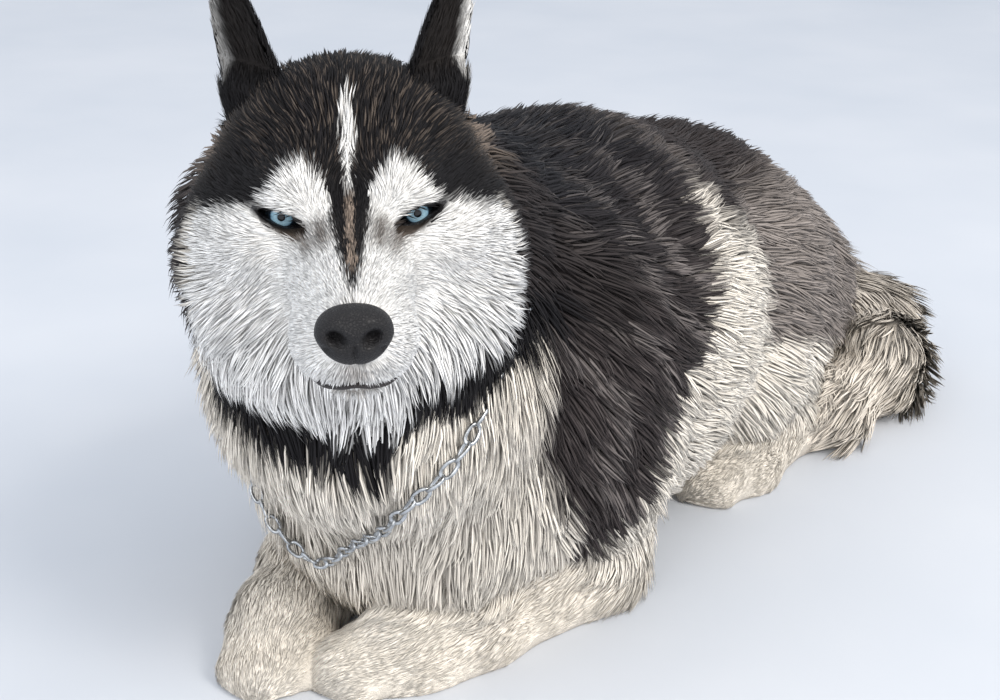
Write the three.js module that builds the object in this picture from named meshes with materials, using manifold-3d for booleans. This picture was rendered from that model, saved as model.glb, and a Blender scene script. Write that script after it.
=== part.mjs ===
// A siberian husky, life size, lying on the floor with its head turned to its left.
// Millimetres. The dog faces -Y, its left is +X, and +Z is up. The origin is on the
// floor under the brisket, between the elbows. Every named piece is a closed solid,
// parted from its neighbours by a gap of 0.3 mm.

import * as THREE from 'three'
import { mergeVertices } from 'three/addons/utils/BufferGeometryUtils.js'
import Module from 'manifold-3d'

const wasm = await Module()
wasm.setup()

// Driving dimensions
const gap = 0.3
const withersHigh = 315
const backHigh = 272
const croupHigh = 233
const bodyHalf = 160
const chestFront = -180
const headYaw = 37.5
const headPitch = -3
const eyeMiddle = [91, -243, 342]
const eyeSpan = 66
const eyeBall = 11
const muzzleLong = 103
const cheekHalf = 95
const skullHigh = 60
const earTall = 82
const earWide = 46
const tailThick = 52

const degree = Math.PI / 180
const add = (a, b, scale = 1) => a.map((value, i) => value + scale * b[i])
const mix = (a, b, t) => a.map((value, i) => value + t * (b[i] - value))
const dot = (a, b) => a[0] * b[0] + a[1] * b[1] + a[2] * b[2]
const cross = (a, b) => [a[1] * b[2] - a[2] * b[1], a[2] * b[0] - a[0] * b[2], a[0] * b[1] - a[1] * b[0]]
const length = (a) => Math.hypot(...a)
const unit = (a) => a.map((value) => value / (length(a) || 1))

// The head has axes of its own: forward along the muzzle, to the dog's left, and up
const forward = [
  Math.sin(headYaw * degree) * Math.cos(headPitch * degree),
  -Math.cos(headYaw * degree) * Math.cos(headPitch * degree),
  Math.sin(headPitch * degree),
]
const leftward = [Math.cos(headYaw * degree), Math.sin(headYaw * degree), 0]
const upward = cross(forward, leftward)
const inHead = (p) => {
  const offset = add(p, eyeMiddle, -1)
  return [dot(offset, forward), dot(offset, leftward), dot(offset, upward)]
}
const fromHead = ([u, v, w]) => add(add(add(eyeMiddle, forward, u), leftward, v), upward, w)
const turnFromHead = ([u, v, w]) => add(add(forward.map((x) => x * u), leftward, v), upward, w)

// Rounded forms, each a signed distance: an egg has three half lengths, a limb
// runs between two balls of different size
const egg = (at, half, soft = 24) => ({
  soft,
  at: (p) => {
    const q = [(p[0] - at[0]) / half[0], (p[1] - at[1]) / half[1], (p[2] - at[2]) / half[2]]
    const near = Math.hypot(q[0], q[1], q[2])
    const slope = Math.hypot(q[0] / half[0], q[1] / half[1], q[2] / half[2])
    return slope < 1e-9 ? -Math.min(...half) : (near * (near - 1)) / slope
  },
})
const limb = (from, to, thickFrom, thickTo, soft = 18) => {
  const axis = add(to, from, -1)
  const long2 = dot(axis, axis)
  const taper = thickFrom - thickTo
  const slant2 = long2 - taper * taper
  return {
    soft,
    at: (p) => {
      const offset = add(p, from, -1)
      const along = dot(offset, axis)
      const past = along - long2
      const side = add(offset.map((value) => value * long2), axis, -along)
      const side2 = dot(side, side)
      const along2 = along * along * long2
      const past2 = past * past * long2
      const turn = Math.sign(taper) * taper * taper * side2
      if (Math.sign(past) * slant2 * past2 > turn) return Math.sqrt(side2 + past2) / long2 - thickTo
      if (Math.sign(along) * slant2 * along2 < turn) return Math.sqrt(side2 + along2) / long2 - thickFrom
      return (Math.sqrt((side2 * slant2) / long2) + along * taper) / long2 - thickFrom
    },
  }
}

// Blends forms one after another, each with its own softness
const blend = (forms, p) => {
  let far = Infinity
  for (const form of forms) {
    const near = form.at(p)
    const soft = form.soft
    const both = Math.max(soft - Math.abs(far - near), 0) / soft
    far = Math.min(far, near) - (both * both * soft) / 4
  }
  return far
}

// Trunk: ribs, belly, croup, forechest and the shoulders that stand proud of it
const trunkForms = [
  egg([0, 95, withersHigh / 2 - 3], [bodyHalf, 215, withersHigh / 2 + 3]),
  egg([0, 262, backHigh / 2 - 3], [bodyHalf - 14, 172, backHigh / 2 + 3]),
  egg([0, 375, croupHigh / 2 - 7], [bodyHalf - 42, 118, croupHigh / 2 - 1]),
  egg([10, chestFront + 95, 132], [118, 95, 120], 30),
  egg([0, 10, 58], [72, 110, 64], 30),
  egg([-98, -35, 165], [72, 102, 122], 30),
  egg([90, -20, 165], [68, 100, 118], 30),
]

// Neck: from the withers up to the back of the skull, with the throat's ruff in front
const napeAt = fromHead([-78, 0, -30])
const neckForms = [
  limb([0, 10, 205], napeAt, 112, 84, 40),
  egg([38, -150, 220], [106, 104, 108], 36),
  egg(fromHead([-62, 0, -78]), [92, 90, 62], 30),
]

// Head, in its own axes; one form serves both sides, because v is taken without sign
const headForms = [
  egg([-66, 0, 4], [62, 64, skullHigh - 4], 20),
  egg([-104, 0, -4], [46, 62, 54], 24),
  egg([-12, 24, 10], [24, 22, 20], 16),
  egg([-34, 46, -16], [42, 30, 28], 20),
  egg([-50, cheekHalf - 40, -38], [40, 40, 42], 24),
  egg([-40, 34, -60], [44, 42, 36], 24),
  limb([4, 0, -26], [muzzleLong - 28, 0, -33], 34, 25, 14),
  limb([2, 0, -8], [muzzleLong - 18, 0, -20], 18, 12, 12),
  limb([-10, 0, -58], [muzzleLong - 36, 0, -53], 26, 14, 12),
  egg([muzzleLong - 41, 15, -39], [26, 16, 17], 8),
]
const headField = (p) => {
  const [u, v, w] = inHead(p)
  return blend(headForms, [u, Math.abs(v), w])
}

// Legs: each joint as a point, named from the shoulder or hip down to the toes
const legs = {
  foreleg_left: {
    joints: [[98, -8, 120], [92, 14, 39], [64, -94, 30], [44, -132, 24], [20, -166, 16]],
    thick: [60, 42, 29, 27, 18],
  },
  foreleg_right: {
    joints: [[-108, -10, 120], [-106, 12, 40], [-60, -110, 31], [-42, -160, 25], [-26, -196, 16]],
    thick: [66, 42, 29, 27, 18],
  },
  hind_leg_left: {
    joints: [[66, 375, 112], [92, 232, 86], [122, 345, 34], [112, 226, 22], [98, 190, 16]],
    thick: [72, 52, 26, 22, 16],
  },
  hind_leg_right: {
    joints: [[-66, 375, 112], [-92, 236, 86], [-122, 350, 34], [-118, 230, 22], [-112, 194, 16]],
    thick: [72, 52, 26, 22, 16],
  },
}
const legForms = Object.values(legs).flatMap(({ joints, thick }) =>
  joints.slice(1).map((joint, i) => limb(joints[i], joint, thick[i], thick[i + 1], 20)))
const thighForms = [
  egg([76, 318, 104], [62, 110, 106], 30),
  egg([-76, 318, 104], [62, 110, 106], 30),
]

// Tail: a brush that leaves the croup, bends round the left buttock and lies forward
const tailPath = [[0, 430, 116], [50, 492, 82], [112, 492, 52], [150, 430, 44], [144, 345, 30], [124, 296, 15]]
const tailReach = [40, 48, tailThick, tailThick - 2, 38, 16]
const tailForms = tailPath.slice(1).map((point, i) =>
  limb(tailPath[i], point, tailReach[i], tailReach[i + 1], 22))

const dogForms = [...trunkForms, ...thighForms, ...legForms, ...neckForms]

// The long coat is built as locks over a core, which lies half the coat's depth below
// the tips: deepest on the throat and the chest, and thinner over the buttocks
const longCoat = [
  { heart: [40, -150, 195], reach: 190, deep: 34 },
  { heart: [90, 400, 90], reach: 130, deep: 20 },
  { heart: [-90, 400, 90], reach: 130, deep: 20 },
  { heart: [0, 150, 260], reach: 260, deep: 12 },
]
const coatDeep = (p) => Math.max(0, ...longCoat.map(({ heart, reach, deep }) => {
  const near = 1 - length(add(p, heart, -1)) / reach
  return near > 0 ? deep * Math.min(1, 2 * near) : 0
}))
const beforeFace = (p) => Math.min(1, Math.max(0, (10 - inHead(p)[0]) / 30))
const coreInset = (p) => 0.5 * coatDeep(p) * beforeFace(p)
const outerField = (p) => {
  const parts = [{ soft: 1, at: (q) => blend(dogForms, q) }, { soft: 26, at: headField }]
  return blend(parts, p)
}
const offFloor = (p) => Math.min(1, Math.max(0, (p[2] - 15) / 40))
const bodyField = (p) => outerField(p) + coreInset(p) * offFloor(p)
const tailDeep = 22
const tailField = (p) => blend(tailForms, p) + tailDeep / 2 * Math.min(1, Math.max(0.2, (p[0] + p[1] - 430) / 60))

// Turns a field into a closed surface. Each cell that the surface crosses holds one
// point for each fold of the surface in it, each crossed edge gives one quad between
// the four cells round it, and every point is drawn onto the surface
const corners = [0, 1, 2, 3, 4, 5, 6, 7].map((bits) => [bits & 1, (bits >> 1) & 1, bits >> 2])
const cornerAt = ([a, b, c]) => a + 2 * b + 4 * c
const cellEdges = corners.flatMap((corner) => [0, 1, 2].filter((axis) => !corner[axis]).map((axis) =>
  ({ axis, from: corner, to: corner.map((bit, n) => (n === axis ? 1 : bit)) })))
const edgeBetween = (a, b) => cellEdges.findIndex(({ from, to }) =>
  (cornerAt(from) === a && cornerAt(to) === b) || (cornerAt(from) === b && cornerAt(to) === a))
const cellFaces = [0, 1, 2].flatMap((axis) => [0, 1].map((bit) =>
  [[0, 0], [1, 0], [1, 1], [0, 1]].map(([x, y]) => {
    const corner = [0, 0, 0]
    corner[axis] = bit
    corner[(axis + 1) % 3] = x
    corner[(axis + 2) % 3] = y
    return cornerAt(corner)
  })))
const faceEdges = cellFaces.map((face) => face.map((corner, n) => edgeBetween(corner, face[(n + 1) % 4])))

function foldsOf(within) {
  const fold = cellEdges.map(({ from, to }, n) => (within[cornerAt(from)] !== within[cornerAt(to)] ? n : -1))
  const join = (a, b) => {
    const [keep, drop] = [fold[a], fold[b]]
    fold.forEach((value, n) => value === drop && (fold[n] = keep))
  }
  cellFaces.forEach((face, f) => {
    const crossed = faceEdges[f].filter((edge) => fold[edge] >= 0)
    if (crossed.length === 2) join(...crossed)
    if (crossed.length === 4) {
      face.forEach((corner, n) => within[corner] && join(faceEdges[f][n], faceEdges[f][(n + 3) % 4]))
    }
  })
  return fold
}

function* cellsOf([across, along, up]) {
  for (let i = 0; i < across; i++) {
    for (let j = 0; j < along; j++) {
      for (let k = 0; k < up; k++) yield [i, j, k]
    }
  }
}

function skinOf(field, low, high, cell) {
  const count = low.map((value, i) => Math.ceil((high[i] - value) / cell) + 2)
  const place = (i, j, k) => [low[0] + (i - 0.5) * cell, low[1] + (j - 0.5) * cell, low[2] + (k - 0.5) * cell]
  const slot = (i, j, k) => (i * count[1] + j) * count[2] + k
  const value = new Float64Array(count[0] * count[1] * count[2])
  const edge = (i, n) => i === 0 || i === n - 1
  for (const [i, j, k] of cellsOf(count)) {
    const rim = edge(i, count[0]) || edge(j, count[1]) || edge(k, count[2])
    const here = field(place(i, j, k))
    value[slot(i, j, k)] = rim ? Math.max(here, cell * 0.3) : here
  }
  const points = []
  const pointOf = new Map()
  for (const [i, j, k] of cellsOf(count.map((n) => n - 1))) {
    const within = corners.map(([a, b, c]) => value[slot(i + a, j + b, k + c)] < 0)
    if (within.every((bit) => bit === within[0])) continue
    const fold = foldsOf(within)
    for (const group of new Set(fold.filter((n) => n >= 0))) {
      const members = cellEdges.map((_, n) => n).filter((n) => fold[n] === group)
      const sum = [0, 0, 0]
      for (const n of members) {
        const { from: a, to: b } = cellEdges[n]
        const va = value[slot(i + a[0], j + a[1], k + a[2])]
        const vb = value[slot(i + b[0], j + b[1], k + b[2])]
        const at = mix(place(i + a[0], j + a[1], k + a[2]), place(i + b[0], j + b[1], k + b[2]), va / (va - vb))
        at.forEach((part, m) => (sum[m] += part))
        pointOf.set(slot(i, j, k) * 12 + n, points.length)
      }
      points.push(sum.map((part) => part / members.length))
    }
  }
  const inside = (p) => p.every((part, n) => part > low[n] && part < high[n])
  points.forEach((point, n) => {
    if (!inside(point)) return
    let at = point
    for (let step = 0; step < 2; step++) {
      const here = field(at)
      const slope = [0, 1, 2].map((i) => (field(at.map((part, m) => part + (m === i ? 0.5 : 0))) - here) * 2)
      const move = Math.max(-cell * 0.3, Math.min(cell * 0.3, here)) / Math.max(dot(slope, slope), 0.5)
      at = add(at, slope, -move)
    }
    points[n] = at
  })
  const faces = []
  const around = [[0, 0], [1, 0], [1, 1], [0, 1]]
  for (const [i, j, k] of cellsOf(count.map((n) => n - 1))) {
    const here = value[slot(i, j, k)] < 0
    for (const axis of [0, 1, 2]) {
      const far = [i, j, k].map((n, m) => n + (m === axis ? 1 : 0))
      if (here === value[slot(...far)] < 0) continue
      const ringOf = around.map(([x, y]) => {
        const corner = [0, 0, 0]
        corner[(axis + 1) % 3] = x
        corner[(axis + 2) % 3] = y
        const cellAt = [i, j, k].map((n, m) => n - corner[m])
        const edgeAt = cellEdges.findIndex((edge) => edge.axis === axis && cornerAt(edge.from) === cornerAt(corner))
        return pointOf.get(slot(...cellAt) * 12 + edgeAt)
      })
      const [p, q, r, s] = here ? ringOf.reverse() : ringOf
      const short = length(add(points[p], points[r], -1)) < length(add(points[q], points[s], -1))
      faces.push(...(short ? [[p, q, r], [p, r, s]] : [[q, r, s], [q, s, p]]))
    }
  }
  const solid = solidOf(points, faces)
  return solid.volume() > 0 ? solid : solidOf(points, faces.map(([a, b, c]) => [a, c, b]))
}

// Solids in and out of the library that joins and cuts
function solidOf(points, faces) {
  const vertProperties = new Float32Array(points.flat())
  const triVerts = new Uint32Array(faces.flat())
  return new wasm.Manifold(new wasm.Mesh({ numProp: 3, vertProperties, triVerts }))
}
function solidFrom(geometry) {
  const bare = geometry.clone()
  bare.deleteAttribute('normal')
  bare.deleteAttribute('uv')
  const merged = mergeVertices(bare, 1e-4)
  const vertProperties = new Float32Array(merged.attributes.position.array)
  const triVerts = new Uint32Array(merged.index.array)
  return new wasm.Manifold(new wasm.Mesh({ numProp: 3, vertProperties, triVerts }))
}
// The largest closed surface of a solid, as bare triangles
function largestOf(solid) {
  const bodies = solid.decompose()
  const { vertProperties, triVerts } = bodies.reduce((a, b) => (b.volume() > a.volume() ? b : a)).getMesh()
  const geometry = new THREE.BufferGeometry()
  geometry.setAttribute('position', new THREE.BufferAttribute(new Float32Array(vertProperties), 3))
  geometry.setIndex(new THREE.BufferAttribute(new Uint32Array(triVerts), 1))
  return geometry
}

// Points nearer than a hundredth of a millimetre are one point, and a face that this
// closes up is dropped, so that no sliver is left along a cut
function welded(soup) {
  const geometry = mergeVertices(soup, 0.01)
  const index = geometry.index.array
  const kept = []
  for (let n = 0; n < index.length; n += 3) {
    const [a, b, c] = [index[n], index[n + 1], index[n + 2]]
    if (a !== b && b !== c && c !== a) kept.push(a, b, c)
  }
  geometry.setIndex(kept)
  return geometry
}
function meshOf(name, solid, material) {
  const geometry = largestOf(solidFrom(welded(largestOf(solid))))
  geometry.computeVertexNormals()
  const mesh = new THREE.Mesh(geometry, material)
  mesh.name = name
  return mesh
}

// A block seen along its own axes: the region that a node is cut out by
function block(at, size, [x, y, z] = [[1, 0, 0], [0, 1, 0], [0, 0, 1]], grown = 0) {
  const geometry = new THREE.BoxGeometry(...size.map((side) => side + 2 * grown))
  const axes = new THREE.Matrix4().makeBasis(...[x, y, z].map((axis) => new THREE.Vector3(...axis)))
  geometry.applyMatrix4(axes.setPosition(...at))
  return solidFrom(geometry)
}

// Finishes
const finish = (color, roughness, metalness = 0) => new THREE.MeshStandardMaterial({ color, roughness, metalness })
const fur = {
  black: finish(0x1b1a1e, 0.85),
  white: finish(0xece6dc, 0.85),
  cream: finish(0xdccdb8, 0.85),
  grey: finish(0x77706c, 0.85),
}
const noseSkin = finish(0x231f22, 0.45)
const eyeGlass = finish(0x9dbccf, 0.1)
const clawHorn = finish(0x2c2622, 0.4)
const steel = finish(0x9aa19d, 0.3, 1)

// A closed skin over rings of like count, with a flat face at the start and an
// apex at the end
function loft(rings, apex) {
  const sides = rings[0].length
  const points = [...rings.flat(), apex]
  const faces = []
  for (let n = 1; n < sides - 1; n++) faces.push([0, n + 1, n])
  for (let r = 0; r < rings.length - 1; r++) {
    for (let n = 0; n < sides; n++) {
      const [a, b] = [r * sides + n, r * sides + ((n + 1) % sides)]
      faces.push([a, b, b + sides], [a, b + sides, a + sides])
    }
  }
  const last = (rings.length - 1) * sides
  for (let n = 0; n < sides; n++) faces.push([last + n, last + ((n + 1) % sides), points.length - 1])
  const solid = solidOf(points, faces)
  return solid.volume() > 0 ? solid : solidOf(points, faces.map(([a, b, c]) => [a, c, b]))
}
function ring(at, across, over, sides, start = 0) {
  return Array.from({ length: sides }, (_, n) => {
    const turn = start + (n / sides) * 2 * Math.PI
    return add(add(at, across, Math.cos(turn)), over, Math.sin(turn))
  })
}
function ball(at, half, axes, across = 12, down = 8) {
  const geometry = new THREE.SphereGeometry(1, across, down)
  const radii = axes.map((axis, n) => new THREE.Vector3(...axis).multiplyScalar(half[n]))
  const basis = new THREE.Matrix4().makeBasis(...radii)
  geometry.applyMatrix4(basis.setPosition(...at))
  return solidFrom(geometry)
}

const husky = new THREE.Group()
const keep = (name, solid, material) => husky.add(meshOf(name, solid, material))
const cores = []
const hold = (name, core, region, material, coat) => cores.push({ name, core, region, material, coat })
const headAxes = [forward, leftward, upward]

// Each form is meshed with cells of its own size and stood on the floor
const floorBlock = block([0, 100, 500], [1400, 1800, 1000])
const trunkGrid = [[-200, -260, -30], [200, 520, 440], 30]
const trunkSkin = skinOf(bodyField, ...trunkGrid).intersect(floorBlock)
const legGrid = [[-180, -250, -30], [180, 440, 250], 23]
const legSkin = skinOf(bodyField, ...legGrid).intersect(floorBlock)
const headGrid = [[-60, -400, 200], [260, -110, 440], 15]
const headSkin = skinOf(bodyField, ...headGrid)
const tailGrid = [[-60, 250, -20], [230, 570, 190], 19]
const tailSkin = skinOf(tailField, ...tailGrid).intersect(floorBlock)
const tailRoom = skinOf((p) => tailField(p) - 4 * gap, ...tailGrid)
const roomField = (p) => bodyField(p) - 3 * gap
const bodyRooms = [trunkGrid, legGrid, headGrid].map((grid) => skinOf(roomField, ...grid))

// The head's block reaches from behind the ears to past the nose, and from under the
// jowls to over the skull
const headBlock = (grown) => block(fromHead([34, 0, -4]), [252, 270, 200], headAxes, grown)
const eyeAt = (side) => fromHead([-eyeBall, (side * eyeSpan) / 2, 0])
const eye = (side, grown = 0) => ball(eyeAt(side), Array(3).fill(eyeBall + grown), headAxes, 10, 8)

// Nose pad: broad, blunt and flat in front, with a nostril sunk in on each side
const noseAt = [muzzleLong - 6, 0, -21]
const nosePad = (grown = 0) => ball(fromHead(noseAt), [11 + grown, 17 + grown, 14 + grown], headAxes, 12, 8)
const nostril = (side) => {
  const mouth = fromHead([muzzleLong + 8, side * 8, -24])
  const rings = [ring(mouth, turnFromHead([0, 4.5, 0]), turnFromHead([0, 0, 3.6]), 8)]
  return loft(rings, fromHead([muzzleLong - 6, side * 6, -22]))
}

// The line of the mouth: a groove that runs back from under the nose to each cheek
const mouthCut = (side) => {
  const path = [[102, 0, -50], [92, 7, -53], [76, 17, -55], [54, 27, -55], [36, 33, -51]]
  const rings = path.slice(0, -1).map(([u, v, w]) =>
    ring(fromHead([u, side * v, w]), turnFromHead([2, side * 6, 0]), turnFromHead([0, 0, 1.6]), 4))
  return loft(rings, fromHead(path.at(-1).map((part, n) => (n === 1 ? side * part : part))))
}

// Lids: a raised rim round each eye, drawn out to a corner at both ends
const rimOf = (side, grow, out) => Array.from({ length: 14 }, (_, n) => {
  const turn = (n / 14) * 2 * Math.PI
  const along = Math.cos(turn) * (13 + grow)
  const rise = Math.sin(turn) * (6 + grow) * (1 - 0.35 * Math.abs(Math.cos(turn)))
  return fromHead([out - 0.012 * along * along, side * (eyeSpan / 2 + along), rise + 0.28 * along])
})
const eyeOpening = (side) =>
  loft([rimOf(side, -1, -9), rimOf(side, -1, 2), rimOf(side, 6, 18)], fromHead([30, (side * eyeSpan) / 2, 0]))
const lid = (side) => {
  const bands = [[4, -12], [3.5, -1.5], [0.5, 1.6], [-1, -1], [-1, -12]].map(([grow, out]) => rimOf(side, grow, out))
  const count = bands[0].length
  const points = bands.flat()
  const faces = []
  for (let band = 0; band < bands.length; band++) {
    const here = band * count
    const next = ((band + 1) % bands.length) * count
    for (let n = 0; n < count; n++) {
      const step = (n + 1) % count
      faces.push([here + n, here + step, next + step], [here + n, next + step, next + n])
    }
  }
  const solid = solidOf(points, faces)
  return solid.volume() > 0 ? solid : solidOf(points, faces.map(([a, b, c]) => [a, c, b]))
}

// Ears: thick upright blades, hollowed on the outer side, each on a round base
const earRoot = (side) => [-92, side * 50, 40]
const earTip = (side) => [-104, side * 68, 40 + earTall]
const earBody = (side, grown = 0) => {
  const steps = [[-0.12, 1.02, 0.62], [0.15, 1, 0.56], [0.42, 0.82, 0.42], [0.68, 0.55, 0.28], [0.88, 0.27, 0.15]]
  const rings = steps.map(([t, wide, thick]) => {
    const at = mix(earRoot(side), earTip(side), t)
    return ring(fromHead(at), turnFromHead([wide * (earWide / 2) * 0.75, -side * wide * (earWide / 2) * 0.66, 0]),
      turnFromHead([thick * 12 + grown, side * (thick * 17 + grown), 0]), 10)
  })
  return loft(rings, fromHead(earTip(side)))
}
const earCup = (side) => {
  const steps = [[0.14, 0.5, 0.5], [0.42, 0.62, 0.5], [0.66, 0.36, 0.36]]
  const rings = steps.map(([t, wide, deep]) => {
    const at = add(mix(earRoot(side), earTip(side), t), [7, side * 15, 0], 1 - 0.45 * t)
    return ring(fromHead(at), turnFromHead([wide * (earWide / 2) * 0.75, -side * wide * (earWide / 2) * 0.66, 0]),
      turnFromHead([deep * 12, side * deep * 17, 0]), 8)
  })
  return loft(rings, fromHead(add(mix(earRoot(side), earTip(side), 0.86), [3, side * 8, 0])))
}

const sides = { left: 1, right: -1 }
let head = headSkin.intersect(headBlock(0))
for (const side of Object.values(sides)) {
  head = head.add(lid(side)).subtract(eyeOpening(side)).subtract(eye(side, gap)).subtract(mouthCut(side))
}
head = head.subtract(nosePad(gap))
for (const [name, side] of Object.entries(sides)) {
  keep(`ear_${name}`, earBody(side).subtract(earCup(side)).subtract(headSkin).subtract(trunkSkin), fur.black)
  head = head.subtract(earBody(side, gap * 1.5))
  keep(`eye_${name}`, eye(side), eyeGlass)
}
keep('nose', nosePad().subtract(nostril(1)).subtract(nostril(-1)), noseSkin)

// Neck: all that lies above a slanting cut from the withers to the front of the chest
const neckCut = { top: [0, 34, withersHigh], front: [55, -200, 150] }
const neckAcross = unit([0.97, 0.23, 0])
const neckDown = unit(add(neckCut.front, neckCut.top, -1))
const neckUp = cross(neckDown, neckAcross)
const neckAxes = [neckAcross, neckDown, cross(neckAcross, neckDown)]
const neckBlock = (grown) =>
  block(add(mix(neckCut.top, neckCut.front, 0.5), neckUp, 120), [400, 460, 240], neckAxes, grown)

// Chain collar: a loop that hangs low on the chest in front, where it bends in a V, and
// goes up both sides of the neck. It is made as one round cord of the links' thickness
const chain = {
  heart: [30, -100, 205],
  front: [17, -184, 93],
  left: [107, -120, 215],
  lowest: -12,
  bow: 0.33,
  thick: 3.4,
  room: 5.2,
  steps: 48,
}
const chainFront = unit(add(chain.front, chain.heart, -1))
const chainTowards = add(chain.left, chain.heart, -1)
const chainSide = unit(add(chainTowards, chainFront, -dot(chainTowards, chainFront)))
const chainOver = cross(chainFront, chainSide)
const chainAt = (turn) => {
  const past = Math.abs(((turn / degree - chain.lowest + 540) % 360) - 180)
  const bow = chain.bow * Math.min(1, past / 38 - 0.6) * Math.min(1, Math.max(0, (160 - past) / 60))
  const level = add(chainFront.map((value) => value * Math.cos(turn)), chainSide, Math.sin(turn))
  const ray = unit(add(level, chainOver, bow))
  let reach = 20
  while (bodyField(add(chain.heart, ray, reach)) < -2.5) reach += 0.5
  return add(chain.heart, ray, reach)
}
const chainLoop = new THREE.CatmullRomCurve3(
  Array.from({ length: 36 }, (_, n) => new THREE.Vector3(...chainAt((n / 36) * 2 * Math.PI))), true, 'centripetal')
// A tube that closes on itself round the loop, square to it at every step
const chainTube = (thick, count = 6) => {
  const steps = chain.steps
  const rings = Array.from({ length: steps }, (_, n) => {
    const at = chainLoop.getPointAt(n / steps).toArray()
    const run = chainLoop.getTangentAt(n / steps).toArray()
    const away = add(at, chain.heart, -1)
    const out = unit(add(away, run, -dot(away, run)))
    return ring(at, out.map((part) => part * thick), cross(run, out).map((part) => part * thick), count)
  })
  const faces = rings.flatMap((_, r) => rings[r].flatMap((_, n) => {
    const here = r * count
    const next = ((r + 1) % steps) * count
    const step = (n + 1) % count
    return [[here + n, here + step, next + step], [here + n, next + step, next + n]]
  }))
  const solid = solidOf(rings.flat(), faces)
  return solid.volume() > 0 ? solid : solidOf(rings.flat(), faces.map(([a, b, c]) => [a, c, b]))
}
keep('chain_collar', chainTube(chain.thick), steel)
const chainRoom = chainTube(chain.room)
hold('head', head.subtract(chainRoom), headBlock, fur.white, 'cheek')

const ears = earBody(1, 2 * gap).add(earBody(-1, 2 * gap))
hold('neck', trunkSkin.intersect(neckBlock(0)).subtract(headBlock(gap)).subtract(ears).subtract(chainRoom),
  (grown) => neckBlock(grown).subtract(headBlock(gap)), fur.white, 'ruff')

// Legs are cut out by blocks that run level along each length of limb
function alongLimb(from, to, wide, low, high, before, after, grown) {
  const run = unit([to[0] - from[0], to[1] - from[1], 0])
  const reach = Math.hypot(to[0] - from[0], to[1] - from[1])
  const middle = add(from, run, (reach + after - before) / 2)
  const at = [middle[0], middle[1], (low + high) / 2]
  return block(at, [reach + before + after, wide, high - low], [run, cross([0, 0, 1], run), [0, 0, 1]], grown)
}
const besideLimbs = chainRoom.add(headBlock(gap)).add(neckBlock(gap)).add(tailRoom).add(tailSkin)
let limbs = legSkin.subtract(besideLimbs)
let trunk = trunkSkin.subtract(besideLimbs)

// Claws: four blunt horns at the front of each paw, set across its toes, with their
// roots just under the skin
let clawRoom = block([0, 0, -900], [1, 1, 1])
const clawsOf = (paw, knuckle, toe) => {
  const run = unit([toe[0] - knuckle[0], toe[1] - knuckle[1], 0])
  const across = cross([0, 0, 1], run)
  for (const [n, spread] of [-1.5, -0.5, 0.5, 1.5].entries()) {
    let root = add([toe[0], toe[1], 10], across, spread * 8.5)
    while (bodyField(root) < -2) root = add(root, run, 0.5)
    const from = add(root, run, -3)
    const tip = add([root[0], root[1], 4], run, 10)
    const horn = (grown) => loft([
      ring(from, [0, 0, 3.4 + grown], across.map((part) => part * (2.7 + grown)), 6),
      ring(add(root, run, 3), [0, 0, 3 + grown], across.map((part) => part * (2.3 + grown)), 6),
    ], add(tip, run, 2 * grown))
    const pawAxes = [run, across, [0, 0, 1]]
    keep(`claw_${paw}_${n + 1}`, horn(0).subtract(block(add(from, run, -10), [20, 20, 40], pawAxes)), clawHorn)
    const bed = horn(2 * gap).add(block(add(from, run, -1), [3, 7, 8.4], pawAxes))
    limbs = limbs.subtract(bed)
    clawRoom = clawRoom.add(bed)
  }
}
for (const [name, { joints }] of Object.entries(legs)) clawsOf(name, joints[3], joints[4])
trunk = trunk.subtract(clawRoom)

const part = (name, region, material, coat) => {
  hold(name, limbs.intersect(region(0)), region, material, coat)
  limbs = limbs.subtract(region(gap))
  trunk = trunk.subtract(region(gap))
}
for (const [name, side] of Object.entries(sides)) {
  const [shoulder, elbow, wrist, , toe] = legs[`foreleg_${name}`].joints
  part(`forepaw_${name}`, (grown) => alongLimb(wrist, toe, 76, -5, 62, 4, 60, grown), fur.cream)
  part(`forearm_${name}`, (grown) => alongLimb(elbow, wrist, 88, -5, 74, 10, -4.6, grown), fur.cream)
  const shoulderBlock = (grown) => block([side * 156, shoulder[1] - 12, 116], [150, 190, 242], undefined, grown)
  part(`upper_foreleg_${name}`, shoulderBlock, fur.grey, 'flank')
}
for (const [name, side] of Object.entries(sides)) {
  const [, , hock, heel, toe] = legs[`hind_leg_${name}`].joints
  part(`hind_paw_${name}`, (grown) => alongLimb(heel, toe, 58, -5, 42, 12, 50, grown), fur.cream)
  part(`shank_${name}`, (grown) => alongLimb(hock, heel, 62, -5, 56, 40, -12.6, grown), fur.cream)
  const thighBlock = (grown) => block([side * 144, 310, 118], [150, 270, 246], undefined, grown)
  part(`thigh_${name}`, thighBlock, fur.grey, 'breech')
}
const trunkCuts = { chest: [-400, 175], loin: [175 + gap, 330], croup: [330 + gap, 600] }
for (const [name, [front, back]] of Object.entries(trunkCuts)) {
  const region = () => block([0, (front + back) / 2, 200], [600, back - front, 700])
  hold(name, trunk.intersect(region()), region, name === 'chest' ? fur.white : fur.black, name)
}

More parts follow.
